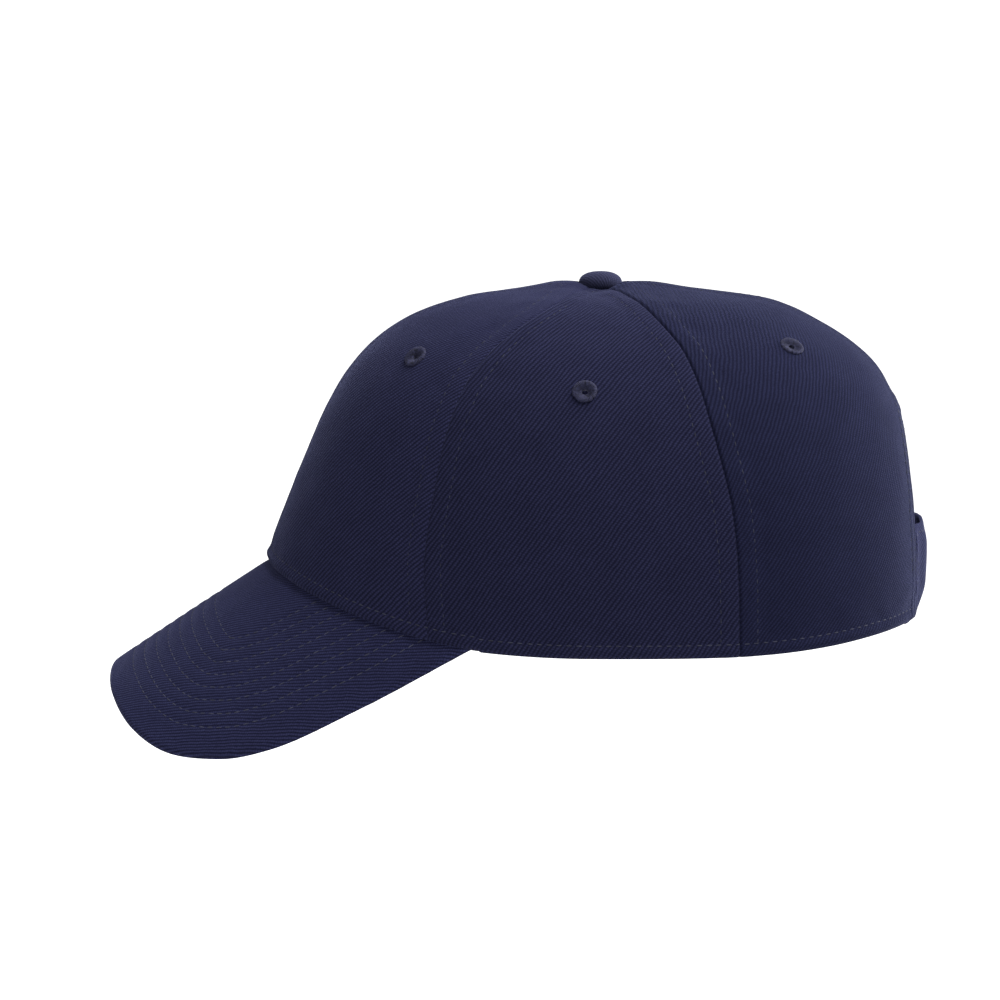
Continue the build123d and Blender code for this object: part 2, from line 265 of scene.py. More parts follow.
def even_steps(points, count):
    """Points at even distances along a line."""
    run = run_length(points)
    return rows_at(np.linspace(0, run[-1], count), run, points)


def ease(value, start, end):
    """A smooth step from 0 at start to 1 at end."""
    share = np.clip((value - start) / (end - start), 0, 1)
    return share * share * (3 - 2 * share)


def shelf(distance, edge, softness):
    """1 up to an edge and 0 beyond it, with a soft step between."""
    return 0.5 - 0.5 * np.tanh((distance - edge) / (2 * softness))


def bump_at(distance, centre, width):
    """A smooth bump of height 1 round one distance."""
    return np.exp(-(((distance - centre) / width) ** 2))


def pucker(run):
    """The small pull of each stitch along a seam, from 0 to 1."""
    return 0.5 + 0.5 * np.cos(2 * math.pi * run / STITCH_PITCH)


def ripple(points, wavelength, seed):
    """A smooth random field in space, about -1 to 1."""
    rng = np.random.default_rng(seed)
    total = np.zeros(points.shape[:-1])
    waves = 9
    for _ in range(waves):
        heading = rng.normal(size=3)
        heading *= 2 * math.pi / (wavelength * rng.uniform(0.8, 1.6) * np.linalg.norm(heading))
        total += np.sin(points @ heading + rng.uniform(0, 2 * math.pi))
    return total / math.sqrt(waves)


def unit(vectors):
    """Vectors of length 1."""
    return vectors / np.maximum(np.linalg.norm(vectors, axis=-1, keepdims=True), 1e-12)


def axis_distance(points):
    """Distance from the cap's upright axis."""
    return np.linalg.norm(points[..., :2], axis=-1)


# ------------ the crown's surface

SECTION_TABLE = smooth_through(CROWN_SECTIONS, 1200)
SIDE_LINE = run_length(SECTION_TABLE[:, [0, 3]])
RIM_TABLE = smooth_through(RIM_LINE, 400)


def sections_at(along):
    """Height, front reach, back reach and half width at a distance up the side line."""
    return [np.interp(along, SIDE_LINE, column) for column in SECTION_TABLE.T]


def along_at_height(height):
    """Distance up the side line at a height."""
    return np.interp(height, SECTION_TABLE[:, 0], SIDE_LINE)


def along_at_width(half_width):
    """Distance up the side line where the crown is this wide, near its top."""
    return np.interp(half_width, SECTION_TABLE[::-1, 3], SIDE_LINE[::-1])


def wandered(angle, height):
    """The true angle of a place on the crown, which follows the seams as they wander."""
    size = np.abs(angle)
    for seam, reach, table in WANDERS:
        near = np.cos(np.clip((np.abs(angle) - seam) / reach, -1, 1) * math.pi / 2) ** 2
        size = size + near * np.radians(look_up(height, table))
    return np.where(angle < 0, -size, size)


def crown_base(angle, along):
    """Smooth outside of the crown at a place on it."""
    height, front, back, half_width = sections_at(along)
    angle = wandered(angle, height)
    forward = np.cos(angle)
    power = np.where(forward > 0, FRONT_ROUNDNESS, BACK_ROUNDNESS)
    reach = np.where(forward > 0, front, back)
    radius = (
        (np.abs(np.sin(angle)) / half_width) ** power + (np.abs(forward) / reach) ** power
    ) ** (-1 / power)
    return np.stack([radius * np.sin(angle), -radius * forward, height], -1)


def crown_normal(angle, along):
    """The outward direction of the crown's surface."""
    turn, step = 1e-3, 0.05
    across = crown_base(angle + turn, along) - crown_base(angle - turn, along)
    upwards = crown_base(angle, along + step) - crown_base(angle, along - step)
    return unit(np.cross(across, upwards))


def crown_offset(angle, along, lift):
    """A point this far out from the smooth crown."""
    return crown_base(angle, along) + crown_normal(angle, along) * np.asarray(lift)[..., None]


def seam_distance(angle, points, seam):
    """Distance from places on the crown to one seam, very large on the other side of the crown."""
    sideways = axis_distance(points) * np.abs(np.sin(angle - seam))
    return np.where(np.cos(angle - seam) > 0, sideways, FAR)


def seam_place(seam, along, offset):
    """The angle at which a line lies this far to one side of a seam."""
    angle = np.full_like(along, seam)
    for _ in range(4):
        radius = axis_distance(crown_base(angle, along))
        angle = seam + np.arcsin(np.clip(offset / radius, -0.95, 0.95))
    return angle


def back_place(across, height):
    """Angle and distance up the side line of a point at the back of the crown."""
    along = along_at_height(height)
    _, _, reach, half_width = sections_at(along)
    share = np.clip(np.abs(across) / half_width, 0, 1) ** BACK_ROUNDNESS
    return np.arctan2(across, -reach * (1 - share) ** (1 / BACK_ROUNDNESS)), along


def bill_top_height(points):
    """Height of the bill's top face over or under points, very low behind the bill."""
    share = np.clip(np.abs(points[..., 0]) / BILL_ARCH_HALF_WIDTH, 0, 0.999)
    drop = -BILL_ARCH_HEIGHT * (1 - np.sqrt(1 - share**2))
    ahead = (points[..., 1] - BILL_ROOT[1] - drop * BILL_UP[1]) / BILL_FORWARD[1]
    height = BILL_ROOT[2] + ahead * BILL_FORWARD[2] + drop * BILL_UP[2]
    return np.where(ahead > -BILL_REACH_BACK, height, -FAR)


def edge_height(points):
    """Height of the crown's lower edge at points on the crown."""
    rim = look_up(points[..., 1], RIM_TABLE)
    return np.maximum(rim + RIM_LIFT, bill_top_height(points) + OVER_BILL)


def find_rim(angle):
    """Distance up the side line at which the crown's lower edge lies, by halving the search."""
    low = np.zeros_like(angle)
    high = np.full_like(angle, RIM_SEARCH)
    for _ in range(36):
        middle = (low + high) / 2
        point = crown_base(angle, middle)
        under = point[..., 2] < edge_height(point)
        low = np.where(under, middle, low)
        high = np.where(under, high, middle)
    return (low + high) / 2


RIM_ANGLES = np.radians(np.linspace(-180, 180, 1441))
RIM_PLACES = find_rim(RIM_ANGLES)
RIM_RUN = run_length(crown_base(RIM_ANGLES, RIM_PLACES))


def rim_at(angle):
    """Distance up the side line of the crown's lower edge."""
    return np.interp(angle, RIM_ANGLES, RIM_PLACES)


def arch_height(across):
    """Height of the back arch's edge at a distance across from its middle."""
    return ARCH_SHOULDER + (ARCH_TOP - ARCH_SHOULDER) * np.sqrt(1 - (across / ARCH_HALF_WIDTH) ** 2)


def arch_distance(points):
    """Rough distance from points at the back to the arch's edge, very large at the front."""
    across, height = np.abs(points[..., 0]), points[..., 2] - ARCH_SHOULDER
    span = ARCH_TOP - ARCH_SHOULDER
    reach = np.sqrt((across / ARCH_HALF_WIDTH) ** 2 + (np.maximum(height, 0) / span) ** 2)
    slope = np.sqrt((across / ARCH_HALF_WIDTH**2) ** 2 + (height / span**2) ** 2)
    over = (reach - 1) * reach / np.maximum(slope, 1e-6)
    distance = np.where(height > 0, over, across - ARCH_HALF_WIDTH)
    return np.where(points[..., 1] > 0, distance, FAR)


def arch_line(offset):
    """Across and height of the line this far outside the back arch, from the left rim to the top."""
    half, high = ARCH_HALF_WIDTH + offset, ARCH_TOP - ARCH_SHOULDER + offset
    turn = np.linspace(0, math.pi / 2, 400)
    curve = np.stack([half * np.cos(turn), ARCH_SHOULDER + high * np.sin(turn)], -1)
    foot = edge_height(crown_base(*back_place(half, 5.0)))
    return np.concatenate([[[half, foot]], curve])


def whole_arch(half):
    """A line or grid over the whole arch, from its left half."""
    return np.concatenate([half, half[-2::-1] * (-1, 1)])


# ------------ relief of the crown's cloth


def crown_relief(angle, along):
    """How far the cloth stands out from the smooth crown."""
    points = crown_base(angle, along)
    relief = 0.3 * ripple(points, 60, 3) + 0.09 * ripple(points, 17, 4) - 0.25
    wrinkles = 0.10 * ripple(points, 7, 11)
    for seam, groove in zip(SEAMS, SEAM_GROOVES):
        away = seam_distance(angle, points, seam)
        relief -= groove * bump_at(away, 0, 0.45)
        relief += DOUBLED_LIFT * shelf(away, SEAM_ALLOWANCE, 0.45)
        relief -= (0.10 + 0.10 * pucker(along)) * bump_at(away, SEAM_STITCH_OFFSET, STITCH_GROOVE)
        relief += wrinkles * bump_at(away, 7.5, 4)
    up = along - rim_at(angle)
    pull = pucker(np.interp(angle, RIM_ANGLES, RIM_RUN))
    relief += DOUBLED_LIFT * shelf(up, HEM_WIDTH, 0.35) - 0.45 * np.exp(-np.maximum(up, 0) / 0.5)
    relief += 0.4 * bump_at(up, 1.5, 1.1)
    relief -= (0.16 + 0.12 * pull) * bump_at(up, HEM_STITCH_OFFSET, STITCH_GROOVE)
    relief += 0.12 * ripple(points, 9, 12) * bump_at(up, 6, 4)
    inward = arch_distance(points)
    for offset in ARCH_ROWS:
        relief -= 0.2 * bump_at(inward, offset, STITCH_GROOVE)
    relief += 0.25 * shelf(inward, ARCH_HEM_WIDTH, 0.4)
    across, back = np.abs(points[..., 0]), points[..., 1]
    for height, side, behind, reach_across, reach_back in BUTTON_SWELLS:
        relief += height * bump_at(across, side, reach_across) * bump_at(back, behind, reach_back)
    above = points[..., 2] - FOLD_HEIGHT + FOLD_DROP * across
    for height, place, reach in ARCH_FOLDS:
        relief += (back > 0) * height * bump_at(above, place, reach) * bump_at(across, 0, FOLD_REACH)
    return relief


def crown_cloth(angle, along, height=0.0):
    """A point on the crown's cloth, or this high over it."""
    return crown_offset(angle, along, crown_relief(angle, along) + height)


def lining_lift(angle, along):
    """How far the inside layers follow the cloth outside them."""
    return 0.3 * np.clip(crown_relief(angle, along), -0.4, 1.0)


def layer_point(angle, along, depth):
    """A point this deep below the crown's outside, following the cloth over it."""
    return crown_offset(angle, along, lining_lift(angle, along) - depth)


# ------------ meshes


def grid_quads(rows, columns, keep=None):
    """Quads of a grid of points that is stored row by row."""
    row, column = np.meshgrid(np.arange(rows - 1), np.arange(columns - 1), indexing="ij")
    first = row * columns + column
    quads = np.stack([first, first + 1, first + columns + 1, first + columns], -1)
    return (quads if keep is None else quads[keep]).reshape(-1, 4)


def ring_quads(rows, around):
    """Quads of a closed profile swept round a closed circle."""
    row, column = np.meshgrid(np.arange(rows), np.arange(around), indexing="ij")
    low, high = row * around, (row + 1) % rows * around
    aside = (column + 1) % around
    return np.stack([low + column, low + aside, high + aside, high + column], -1).reshape(-1, 4)


def outline_loop(rows, columns):
    """Indices round the border of a grid, once round."""
    low = np.arange(columns)
    right = np.arange(1, rows) * columns + columns - 1
    high = (rows - 1) * columns + np.arange(columns - 2, -1, -1)
    left = np.arange(rows - 2, 0, -1) * columns
    return np.concatenate([low, right, high, left])


def open_edges(quads):
    """Edges that only one quad of a grid uses, as pairs in the order that the quad has them."""
    edges = np.concatenate([quads[:, [k, (k + 1) % 4]] for k in range(4)])
    known = dict.fromkeys(map(tuple, edges.tolist()))
    return [(start, end) for start, end in known if (end, start) not in known]


def thick_sheet(outer, inner, uv=None, bulge=0.3, keep=None, rings=4):
    """A closed sheet between two grids of points, whose border bulges out by a length. The squares
    that keep leaves out are a hole. Gives points, quads and the uv of each point, if there is one."""
    rows, columns = outer.shape[:2]
    count = rows * columns
    top, bottom = outer.reshape(-1, 3), inner.reshape(-1, 3)
    quads = grid_quads(rows, columns, keep)
    loop = outline_loop(rows, columns)
    middle, half = (top[loop] + bottom[loop]) / 2, (top[loop] - bottom[loop]) / 2
    outwards = unit(np.cross(np.roll(middle, -1, axis=0) - np.roll(middle, 1, axis=0), half))
    outwards *= np.broadcast_to(bulge, (rows, columns)).reshape(-1)[loop][:, None]
    points, levels = [top, bottom], [loop]
    for ring in range(rings):
        turn = math.pi * (ring + 1) / (rings + 1)
        points.append(middle + half * math.cos(turn) + outwards * math.sin(turn))
        levels.append(2 * count + ring * len(loop) + np.arange(len(loop)))
    levels.append(count + loop)
    faces = [quads, quads[:, ::-1] + count]
    for upper, lower in zip(levels, levels[1:]):
        faces.append(np.stack([upper, lower, np.roll(lower, -1), np.roll(upper, -1)], -1))
    if keep is not None:
        border = set(loop.tolist())
        hole = [(a, b) for a, b in open_edges(quads) if not (a in border and b in border)]
        faces.append(np.array([(b, a, a + count, b + count) for a, b in hole]))
    places = np.concatenate([np.arange(count), np.arange(count), np.tile(loop, rings)])
    uv = uv if uv is None else uv.reshape(-1, 2)[places]
    return np.concatenate(points), np.concatenate(faces), uv


def turned(shape):
    """The same shape with its faces turned over."""
    points, quads, uv = shape
    return points, quads[:, ::-1], uv


def joined(shapes):
    """Several shapes without uv as one."""
    starts = np.cumsum([0] + [len(points) for points, _ in shapes])
    quads = [faces + start for (_, faces), start in zip(shapes, starts)]
    return np.concatenate([points for points, _ in shapes]), np.concatenate(quads), None


def both_halves(half, flip=(-1, 1, 1)):
    """A grid across the whole cap, from the grid of its left half."""
    return np.concatenate([half[:0:-1] * flip, half])


def weave_places(across, up):
    """The uv of a grid of points: millimetres across and up the cloth."""
    return np.stack(np.broadcast_arrays(across, up), -1)


def make_piece(name, shape, material, nodes=(), body="crown"):
    """A smooth-shaded piece of the cap, in the place of CAD nodes if any are given."""
    points, quads, uv = shape
    mesh = bpy.data.meshes.new(name)
    mesh.from_pydata((points * MM).tolist(), [], quads.tolist())
    if uv is not None:
        layer = mesh.uv_layers.new(name="cloth")
        layer.data.foreach_set("uv", uv[quads].astype(np.float32).ravel())
    mesh.validate()
    mesh.shade_smooth()
    mesh.materials.append(material)
    piece = bpy.data.objects.new(name, mesh)
    bpy.context.scene.collection.objects.link(piece)
    if body:
        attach(piece, body)
    if nodes:
        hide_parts(*nodes)
    return piece


def make_pair(name, shape, material, nodes=(), right_uv=None):
    """The same piece on the left and, mirrored, on the right. {} in a name is where the side goes."""
    points, quads, uv = shape
    right_uv = uv if right_uv is None else right_uv
    for side, sign, places in (("left", 1, uv), ("right", -1, right_uv)):
        half = points * (sign, 1, 1), quads[:, ::sign], places
        make_piece(name.format(side), half, material, [node.format(side) for node in nodes])


# ------------ stitches


def rounded_block():
    """Points and quads of a ball made from a cube whose faces are cut in four."""
    corners, quads = [], []
    face = np.array([(i, j) for j in (-1, 0, 1) for i in (-1, 0, 1)])
    for axis in range(3):
        for side in (-1, 1):
            corners.append(np.insert(face, axis, side, axis=1))
            turn = -1 if (side > 0) == (axis == 1) else 1
            quads.append(grid_quads(3, 3)[:, ::turn] + len(face) * len(quads))
    points, index = np.unique(np.concatenate(corners), axis=0, return_inverse=True)
    return unit(points), index.ravel()[np.concatenate(quads)]


BLOCK_POINTS, BLOCK_QUADS = rounded_block()


def stitch_row(line, normals, seed, length=STITCH_LENGTH):
    """Points and quads of a row of stitches along a line on the cloth."""
    run = run_length(line)
    count = max(2, round((run[-1] - length) / STITCH_PITCH) + 1)
    rng = np.random.default_rng(seed)
    centres = np.linspace(length / 2, run[-1] - length / 2, count) + rng.normal(0, 0.08, count)
    place = rows_at(centres, run, line)
    forward = unit(rows_at(centres + 0.4, run, line) - place)
    up = unit(rows_at(centres, run, normals))
    aside = unit(np.cross(up, forward))
    forward += aside * rng.normal(0, 0.04, count)[:, None]
    shape = BLOCK_POINTS * (length / 2, THREAD_RADIUS, THREAD_RADIUS)
    shape[:, 2] -= 0.7 * THREAD_RADIUS * BLOCK_POINTS[:, 0] ** 2
    points = place[:, None] + shape @ np.stack([forward, aside, up], 1)
    quads = BLOCK_QUADS + (np.arange(count) * len(BLOCK_POINTS))[:, None, None]
    return points.reshape(-1, 3), quads.reshape(-1, 4)


def crown_stitches(angle, along, height, seed):
    """A row of stitches along places on the crown's cloth."""
    return stitch_row(crown_cloth(angle, along, height), crown_normal(angle, along), seed)


def seam_stitches():
    """Rows of stitches on both sides of every seam of the crown."""
    rows = []
    top = along_at_width(9.5)
    for index, seam in enumerate(SEAMS):
        low = rim_at(seam) + HEM_STITCH_OFFSET
        if abs(seam) == math.pi:
            low = along_at_height(ARCH_TOP + ARCH_ROWS[-1])
        along = np.linspace(low, top, 400)
        for sign in (-1, 1):
            angle = seam_place(seam, along, sign * SEAM_STITCH_OFFSET)
            rows.append(crown_stitches(angle, along, -0.07, 10 + 2 * index + sign))
    return rows


def hem_stitches():
    """The row of stitches round the rim, and the rows round the arch."""
    end = back_place(ARCH_HALF_WIDTH + ARCH_ROWS[0], 9.0)[0]
    angle = np.linspace(-end, end, 1500)
    rows = [crown_stitches(angle, rim_at(angle) + HEM_STITCH_OFFSET, 0.02, 30)]
    foot = edge_height(np.array([0, 103.0, 5.0])) + 1.5
    for offset in ARCH_ROWS:
        half = arch_line(offset)
        whole = whole_arch(half[half[:, 1] > foot])
        rows.append(crown_stitches(*back_place(*whole.T), 0.02, 33 + int(offset)))
    return rows


# ------------ gores


def spread(start, end, near, far, count):
    """Distances that follow one list near the start, another near the end and are even between."""
    length = end - start
    scale = min(1, length / (near[-1] + far[-1] + 4))
    first, last = near[-1] * scale, length - far[-1] * scale
    middle = first + (last - first) * np.linspace(0, 1, count + 2)[1:-1]
    return start + np.concatenate([near * scale, middle, length - far[::-1] * scale])


def up_from_rim(low, high, count):
    """Distances that are close together by the rim."""
    return spread(low, high, NEAR_RIM, np.zeros(1), count)


def gore_sides(seam, end_angle, back):
    """Distances up a gore's first seam, and angles and distances up its other side."""
    top = along_at_width(TOP_RADIUS)
    low = rim_at(np.array([seam, end_angle]))
    if not back:
        rows = int((top - low.max()) / ROW_STEP)
        left, right = (up_from_rim(start, top, rows) for start in low)
        return left, np.full_like(right, end_angle), right
    # The other side of a back gore goes round the arch and then up the middle
    edge_angle, edge_along = back_place(*arch_line(0.0).T)
    edge_angle[-1] = math.pi
    run = run_length(crown_base(edge_angle, edge_along))
    arch_rows = int(run[-1] / ROW_STEP)
    at = up_from_rim(0, run[-1], arch_rows)
    above = int((top - edge_along[-1]) / ROW_STEP)
    turn_over = low[0] + ARCH_SHARE * (top - low[0])
    left = [up_from_rim(low[0], turn_over, arch_rows), np.linspace(turn_over, top, above + 1)[1:]]
    angle = [np.interp(at, run, edge_angle), np.full(above, end_angle)]
    right = [np.interp(at, run, edge_along), np.linspace(edge_along[-1], top, above + 1)[1:]]
    return np.concatenate(left), np.concatenate(angle), np.concatenate(right)


def gore_grid(seam, end_angle, back=False):
    """Angles and distances up the side line of a grid over one gore of the left side."""
    left, right_angle, right = gore_sides(seam, end_angle, back)
    share = np.linspace(0, 1, 240)
    lines = []
    for part, low, turn, high in zip(np.linspace(0, 1, len(left)), left, right_angle, right):
        angle = seam + (turn - seam) * share
        rim = rim_at(angle)
        over_rim = rim + (low - rim[0]) * (1 - share) + (high - rim[-1]) * share
        straight = low + (high - low) * share
        settled = ease(part, 0, 1)
        along = (1 - settled) * over_rim + settled * straight
        lines.append((angle, along, run_length(crown_base(angle, along))))
    columns = int((max(run[-1] for _, _, run in lines) - 2 * NEAR_EDGE[-1]) / COLUMN_STEP)
    grid = []
    for angle, along, run in lines:
        at = spread(0, run[-1], NEAR_EDGE, NEAR_EDGE, columns)
        grid.append((np.interp(at, run, angle), np.interp(at, run, along)))
    return np.moveaxis(np.array(grid), 1, 0)


def flat_place(angle, along, centre):
    """Distances across and up the cloth of a gore, from its middle line."""
    turns = centre + (angle - centre)[..., None] * np.linspace(0, 1, 33)
    path = crown_base(turns, np.broadcast_to(along[..., None], turns.shape))
    across = np.linalg.norm(np.diff(path, axis=-2), axis=-1).sum(-1) * np.sign(angle - centre)
    levels = np.linspace(0, SIDE_LINE[-1], 1500)
    up = run_length(crown_base(np.full_like(levels, centre), levels))
    return weave_places(across, np.interp(along, levels, up))


def outside_hole(place, base, radius):
    """Which squares of a grid of points lie outside the hole of an eyelet."""
    angle, height, _ = EYELETS[place]
    away = np.linalg.norm(base - crown_base(angle, along_at_height(height)), axis=-1)
    corners = away[1:, 1:], away[:-1, 1:], away[1:, :-1], away[:-1, :-1]
    return np.minimum.reduce(corners) > radius


def gore(place, seam, end_angle, material, centre):
    """Both gores of one kind, with their weave laid out from their middle lines."""
    back = place == "back"
    angle, along = gore_grid(seam, end_angle, back)
    relief = crown_relief(angle, along)
    outer = crown_offset(angle, along, relief)
    inner = crown_offset(angle, along, np.minimum(lining_lift(angle, along) - CLOTH, relief - 0.35))
    base = crown_base(angle, along)
    rolled, tucked = 0.35, 0.02
    bulge = np.full(angle.shape, tucked)
    bulge[0] = rolled
    if back:
        bulge[:, -1] = np.where(base[:, -1, 2] < ARCH_TOP - 1, rolled, tucked)
    uv = flat_place(angle, along, centre)
    shape = thick_sheet(outer, inner, uv, bulge, outside_hole(place, base, GORE_HOLE))
    right_uv = shape[2] * (-1, 1) + (37.0, 0)
    make_pair(f"{place}_{{}}_gore", shape, material, [f"{place}_{{}}_panel"], right_uv)


# ------------ the bill


def bill_point(turn, forward, depth):
    """A point of the bill: turn round its arch, distance forward of the root, depth below its top."""
    across = (BILL_ARCH_HALF_WIDTH - depth) * np.sin(turn)
    drop = -BILL_ARCH_HEIGHT + (BILL_ARCH_HEIGHT - depth) * np.cos(turn)
    aside = across[..., None] * np.array([1.0, 0, 0])
    return BILL_ROOT + forward[..., None] * BILL_FORWARD + drop[..., None] * BILL_UP + aside


ARCH_TURNS = np.linspace(0, math.radians(80), 2000)
ARCH_RUN = run_length(bill_point(ARCH_TURNS, 0 * ARCH_TURNS, 0.0))


def turn_at(width):
    """The turn round the bill's arch at a distance from its middle."""
    return np.interp(width, ARCH_RUN, ARCH_TURNS)


def bill_outline():
    """The left half of the bill's outline on the flat: distance round the arch, distance forward."""
    half_width, forward = smooth_through(BILL_OUTLINE, 900).T
    turn = np.arcsin(np.clip(half_width / BILL_ARCH_HALF_WIDTH, 0, 0.995))
    return np.stack([np.interp(turn, ARCH_TURNS, ARCH_RUN), forward], -1)


def bill_foot_line(widest):
    """Where the bill's top face meets the crown: distance round the arch and distance forward."""
    width, forward = np.linspace(0, widest, 260), np.linspace(-60, 60, 1600)
    points = bill_point(*np.broadcast_arrays(turn_at(width)[:, None], forward), 0.0)
    angle = np.arctan2(points[..., 0], -points[..., 1])
    wall = crown_base(angle, along_at_height(points[..., 2]))
    clear = axis_distance(points) > axis_distance(wall)
    return np.stack([width, forward[np.argmax(clear, axis=1)]], -1)


BILL_EDGE = bill_outline()
BILL_FOOT = bill_foot_line(BILL_EDGE[-1, 0])
BILL_EDGE = BILL_EDGE[BILL_EDGE[:, 1] > look_up(BILL_EDGE[:, 0], BILL_FOOT) - 1.0]
BILL_FOOT = BILL_FOOT[BILL_FOOT[:, 0] <= BILL_EDGE[-1, 0] + 0.01]


def edge_distance(flat):
    """Distance from places on the flat bill to its outline."""
    nearest = np.full(flat.shape[:-1], np.inf)
    for corner in BILL_EDGE:
        nearest = np.minimum(nearest, np.linalg.norm(flat - corner, axis=-1))
    return nearest


def bill_relief(flat, away):
    """How far the bill's cloth stands up: rows of stitches with soft swells between them."""
    spot = np.concatenate([flat, np.zeros_like(flat[..., :1])], -1)
    relief = 0.16 * ripple(spot, 45, 21) + 0.05 * ripple(spot, 14, 22)
    past_foot = flat[..., 1] - look_up(np.abs(flat[..., 0]), BILL_FOOT)
    relief -= 0.35 * np.exp(-np.maximum(past_foot, 0) / 1.6)
    pull = 0.24 + 0.08 * pucker(flat[..., 0] + 0.6 * flat[..., 1])
    for row in range(BILL_ROWS):
        relief -= pull * bump_at(away, BILL_FIRST_ROW + row * BILL_ROW_STEP, 0.75)
    return relief


def bill_surface(flat, away, under):
    """Points of the bill's outer face, top or underneath, rolled over at the edge."""
    inside = np.clip(1 - (away - BILL_EDGE_CLOSE) / BILL_EDGE_RADIUS, 0, 1)
    fall = BILL_EDGE_RADIUS * (1 - np.sqrt(1 - inside**2))
    depth = fall - bill_relief(flat, away) * np.clip(away / 3, 0, 1)
    depth = BILL_THICKNESS - depth if under else depth
    return bill_point(turn_at(flat[..., 0]), flat[..., 1], depth)


def bill_grid():
    """A grid over the left half of the flat bill, from its outline in to the crown."""
    run = run_length(BILL_EDGE)
    at = np.linspace(0, run[-1], int(run[-1] / ROW_STEP))
    edge = rows_at(at, run, BILL_EDGE)
    foot_run = run_length(BILL_FOOT)
    share = at / run[-1]
    foot = rows_at(foot_run[-1] * (0.55 * share + 0.45 * share**2), foot_run, BILL_FOOT)
    foot[-1] = edge[-1] + (foot[-1] - edge[-1]) * 0.999
    inwards = foot - (0, BILL_TUCK) - edge
    lines = []
    for corner, inward in zip(edge, inwards):
        length = np.linalg.norm(inward)
        near = NEAR_BILL_EDGE * min(1, length / (2 * NEAR_BILL_EDGE[-1]))
        steps = np.concatenate([near, np.linspace(near[-1], length, 72)[1:]])
        lines.append(corner + unit(inward) * steps[:, None])
    return np.array(lines)


def bill_cover(name, under, material, node):
    """One cloth face of the bill, across both halves."""
    half = bill_grid()
    away = edge_distance(half)
    outer = bill_surface(half, away, under)
    depth = 0.8 + 0.4 * np.clip(1 - away / BILL_EDGE_RADIUS, 0, 1)
    depth = BILL_THICKNESS - depth if under else depth
    inner = bill_point(turn_at(half[..., 0]), half[..., 1], depth)
    # Near the outline the two faces of the cloth draw together
    thinned = (outer + inner) / 2 + (inner - outer) * 0.12
    near_edge = np.clip(1 - away / 1.2, 0, 1)[..., None]
    inner = inner * (1 - near_edge) + thinned * near_edge
    shape = thick_sheet(both_halves(outer), both_halves(inner), both_halves(half, (-1, 1)), 0.05)
    make_piece(name, shape if under else turned(shape), material, [node])


def bill_board(material):
    """The stiff board between the bill's two cloths."""
    half = bill_grid()[:, BOARD_FIRST_STEP:]
    turn = turn_at(half[..., 0])
    faces = [both_halves(bill_point(turn, half[..., 1], depth + 0 * turn)) for depth in BOARD_DEPTHS]
    make_piece("bill_board", turned(thick_sheet(*faces)), material, ["visor_board"])


def bill_stitches(under):
    """The rows of stitches round the bill."""
    rows = []
    inward = unit(np.gradient(BILL_EDGE, axis=0))[:, ::-1] * (1, -1)
    for row in range(BILL_ROWS):
        at = BILL_FIRST_ROW + row * BILL_ROW_STEP
        line = BILL_EDGE + inward * at
        line = line[(edge_distance(line) > at - 0.25) & (line[:, 0] >= 0)]
        line = line[line[:, 1] > look_up(line[:, 0], BILL_FOOT) - 0.4]
        away = edge_distance(line)
        place, other = bill_surface(line, away, under), bill_surface(line, away, not under)
        place, other = (np.concatenate([face[::-1] * (-1, 1, 1), face]) for face in (place, other))
        apart = np.linalg.norm(np.diff(place, axis=0), axis=1) > 1e-3
        apart = np.concatenate([[True], apart])
        up = unit(place - other)[apart]
        rows.append(stitch_row(place[apart] + up * 0.03, up, 40 + row, BILL_STITCH_LENGTH))
    return rows


# ------------ round pieces


def eyelet_ring(angle, height, depth):
    """A buttonhole-stitched ring that sits through the cloth."""
    along = along_at_height(height)
    centre, normal = crown_base(angle, along), crown_normal(angle, along)
    level = unit(np.cross((0, 0, 1), normal))
    upwards = np.cross(normal, level)
    around = np.linspace(0, 2 * math.pi, EYELET_RIDGES * 6, endpoint=False)
    # The profile runs over the front of the ring, in through the hole and out again behind it
    share = np.linspace(0, 1, 15)
    front = (
        EYELET_RADIUS - (EYELET_RADIUS - EYELET_HOLE_RADIUS) * share,
        0.72 * np.sin(np.pi * np.clip(share**0.62, 0.03, 1)) ** 0.8 - 0.1 - 0.45 * share**2,
        np.sin(np.pi * share) ** 0.7,
    )
    behind = (
        np.linspace(EYELET_HOLE_RADIUS, EYELET_RADIUS - 0.5, 8),
        -depth - 0.45 * np.sin(np.linspace(0.15, 3.0, 8)) ** 0.6,
        0.7 * np.sin(np.linspace(0.3, 2.9, 8)),
    )
    radius, rise, swell = np.concatenate([front, behind], 1)[..., None]
    rng = np.random.default_rng(int(height * 10))
    uneven = 0.018 * rng.normal(size=EYELET_RIDGES).repeat(6)
    reach = radius * (1 + uneven * (radius > 3))
    lift = rise + 0.11 * swell * np.cos(EYELET_RIDGES * around) * np.sign(rise + 0.3) - reach**2 / 2400
    directions = np.stack([level, upwards, normal])
    points = centre + np.stack([reach * np.cos(around), reach * np.sin(around), lift], -1) @ directions
    return points.reshape(-1, 3), ring_quads(len(radius), len(around)), None


def dome(count_up, count_round, radius, height, below, base, tuck):
    """Points of a soft dome whose edge turns in under its widest level, by an angle in degrees."""
    turn = np.linspace(0, 2 * math.pi, count_round, endpoint=False)
    share = np.linspace(0.02, 1, count_up)[:, None]
    lean = share * math.radians(90 + tuck)
    level = base + np.where(lean < math.pi / 2, height, -below) * np.abs(np.cos(lean)) ** 0.9
    pleat = np.clip((share - 0.6) / 0.4, 0, 1) ** 1.5
    fold = 0.2 * pleat * np.cos(14 * turn + 0.9 * np.sin(3 * turn))
    reach = radius * np.sin(lean) ** 0.85 + fold + 0.1 * np.sin(3 * turn + 1) * share
    return np.stack([reach * np.cos(turn), reach * np.sin(turn), level + 0 * turn], -1)


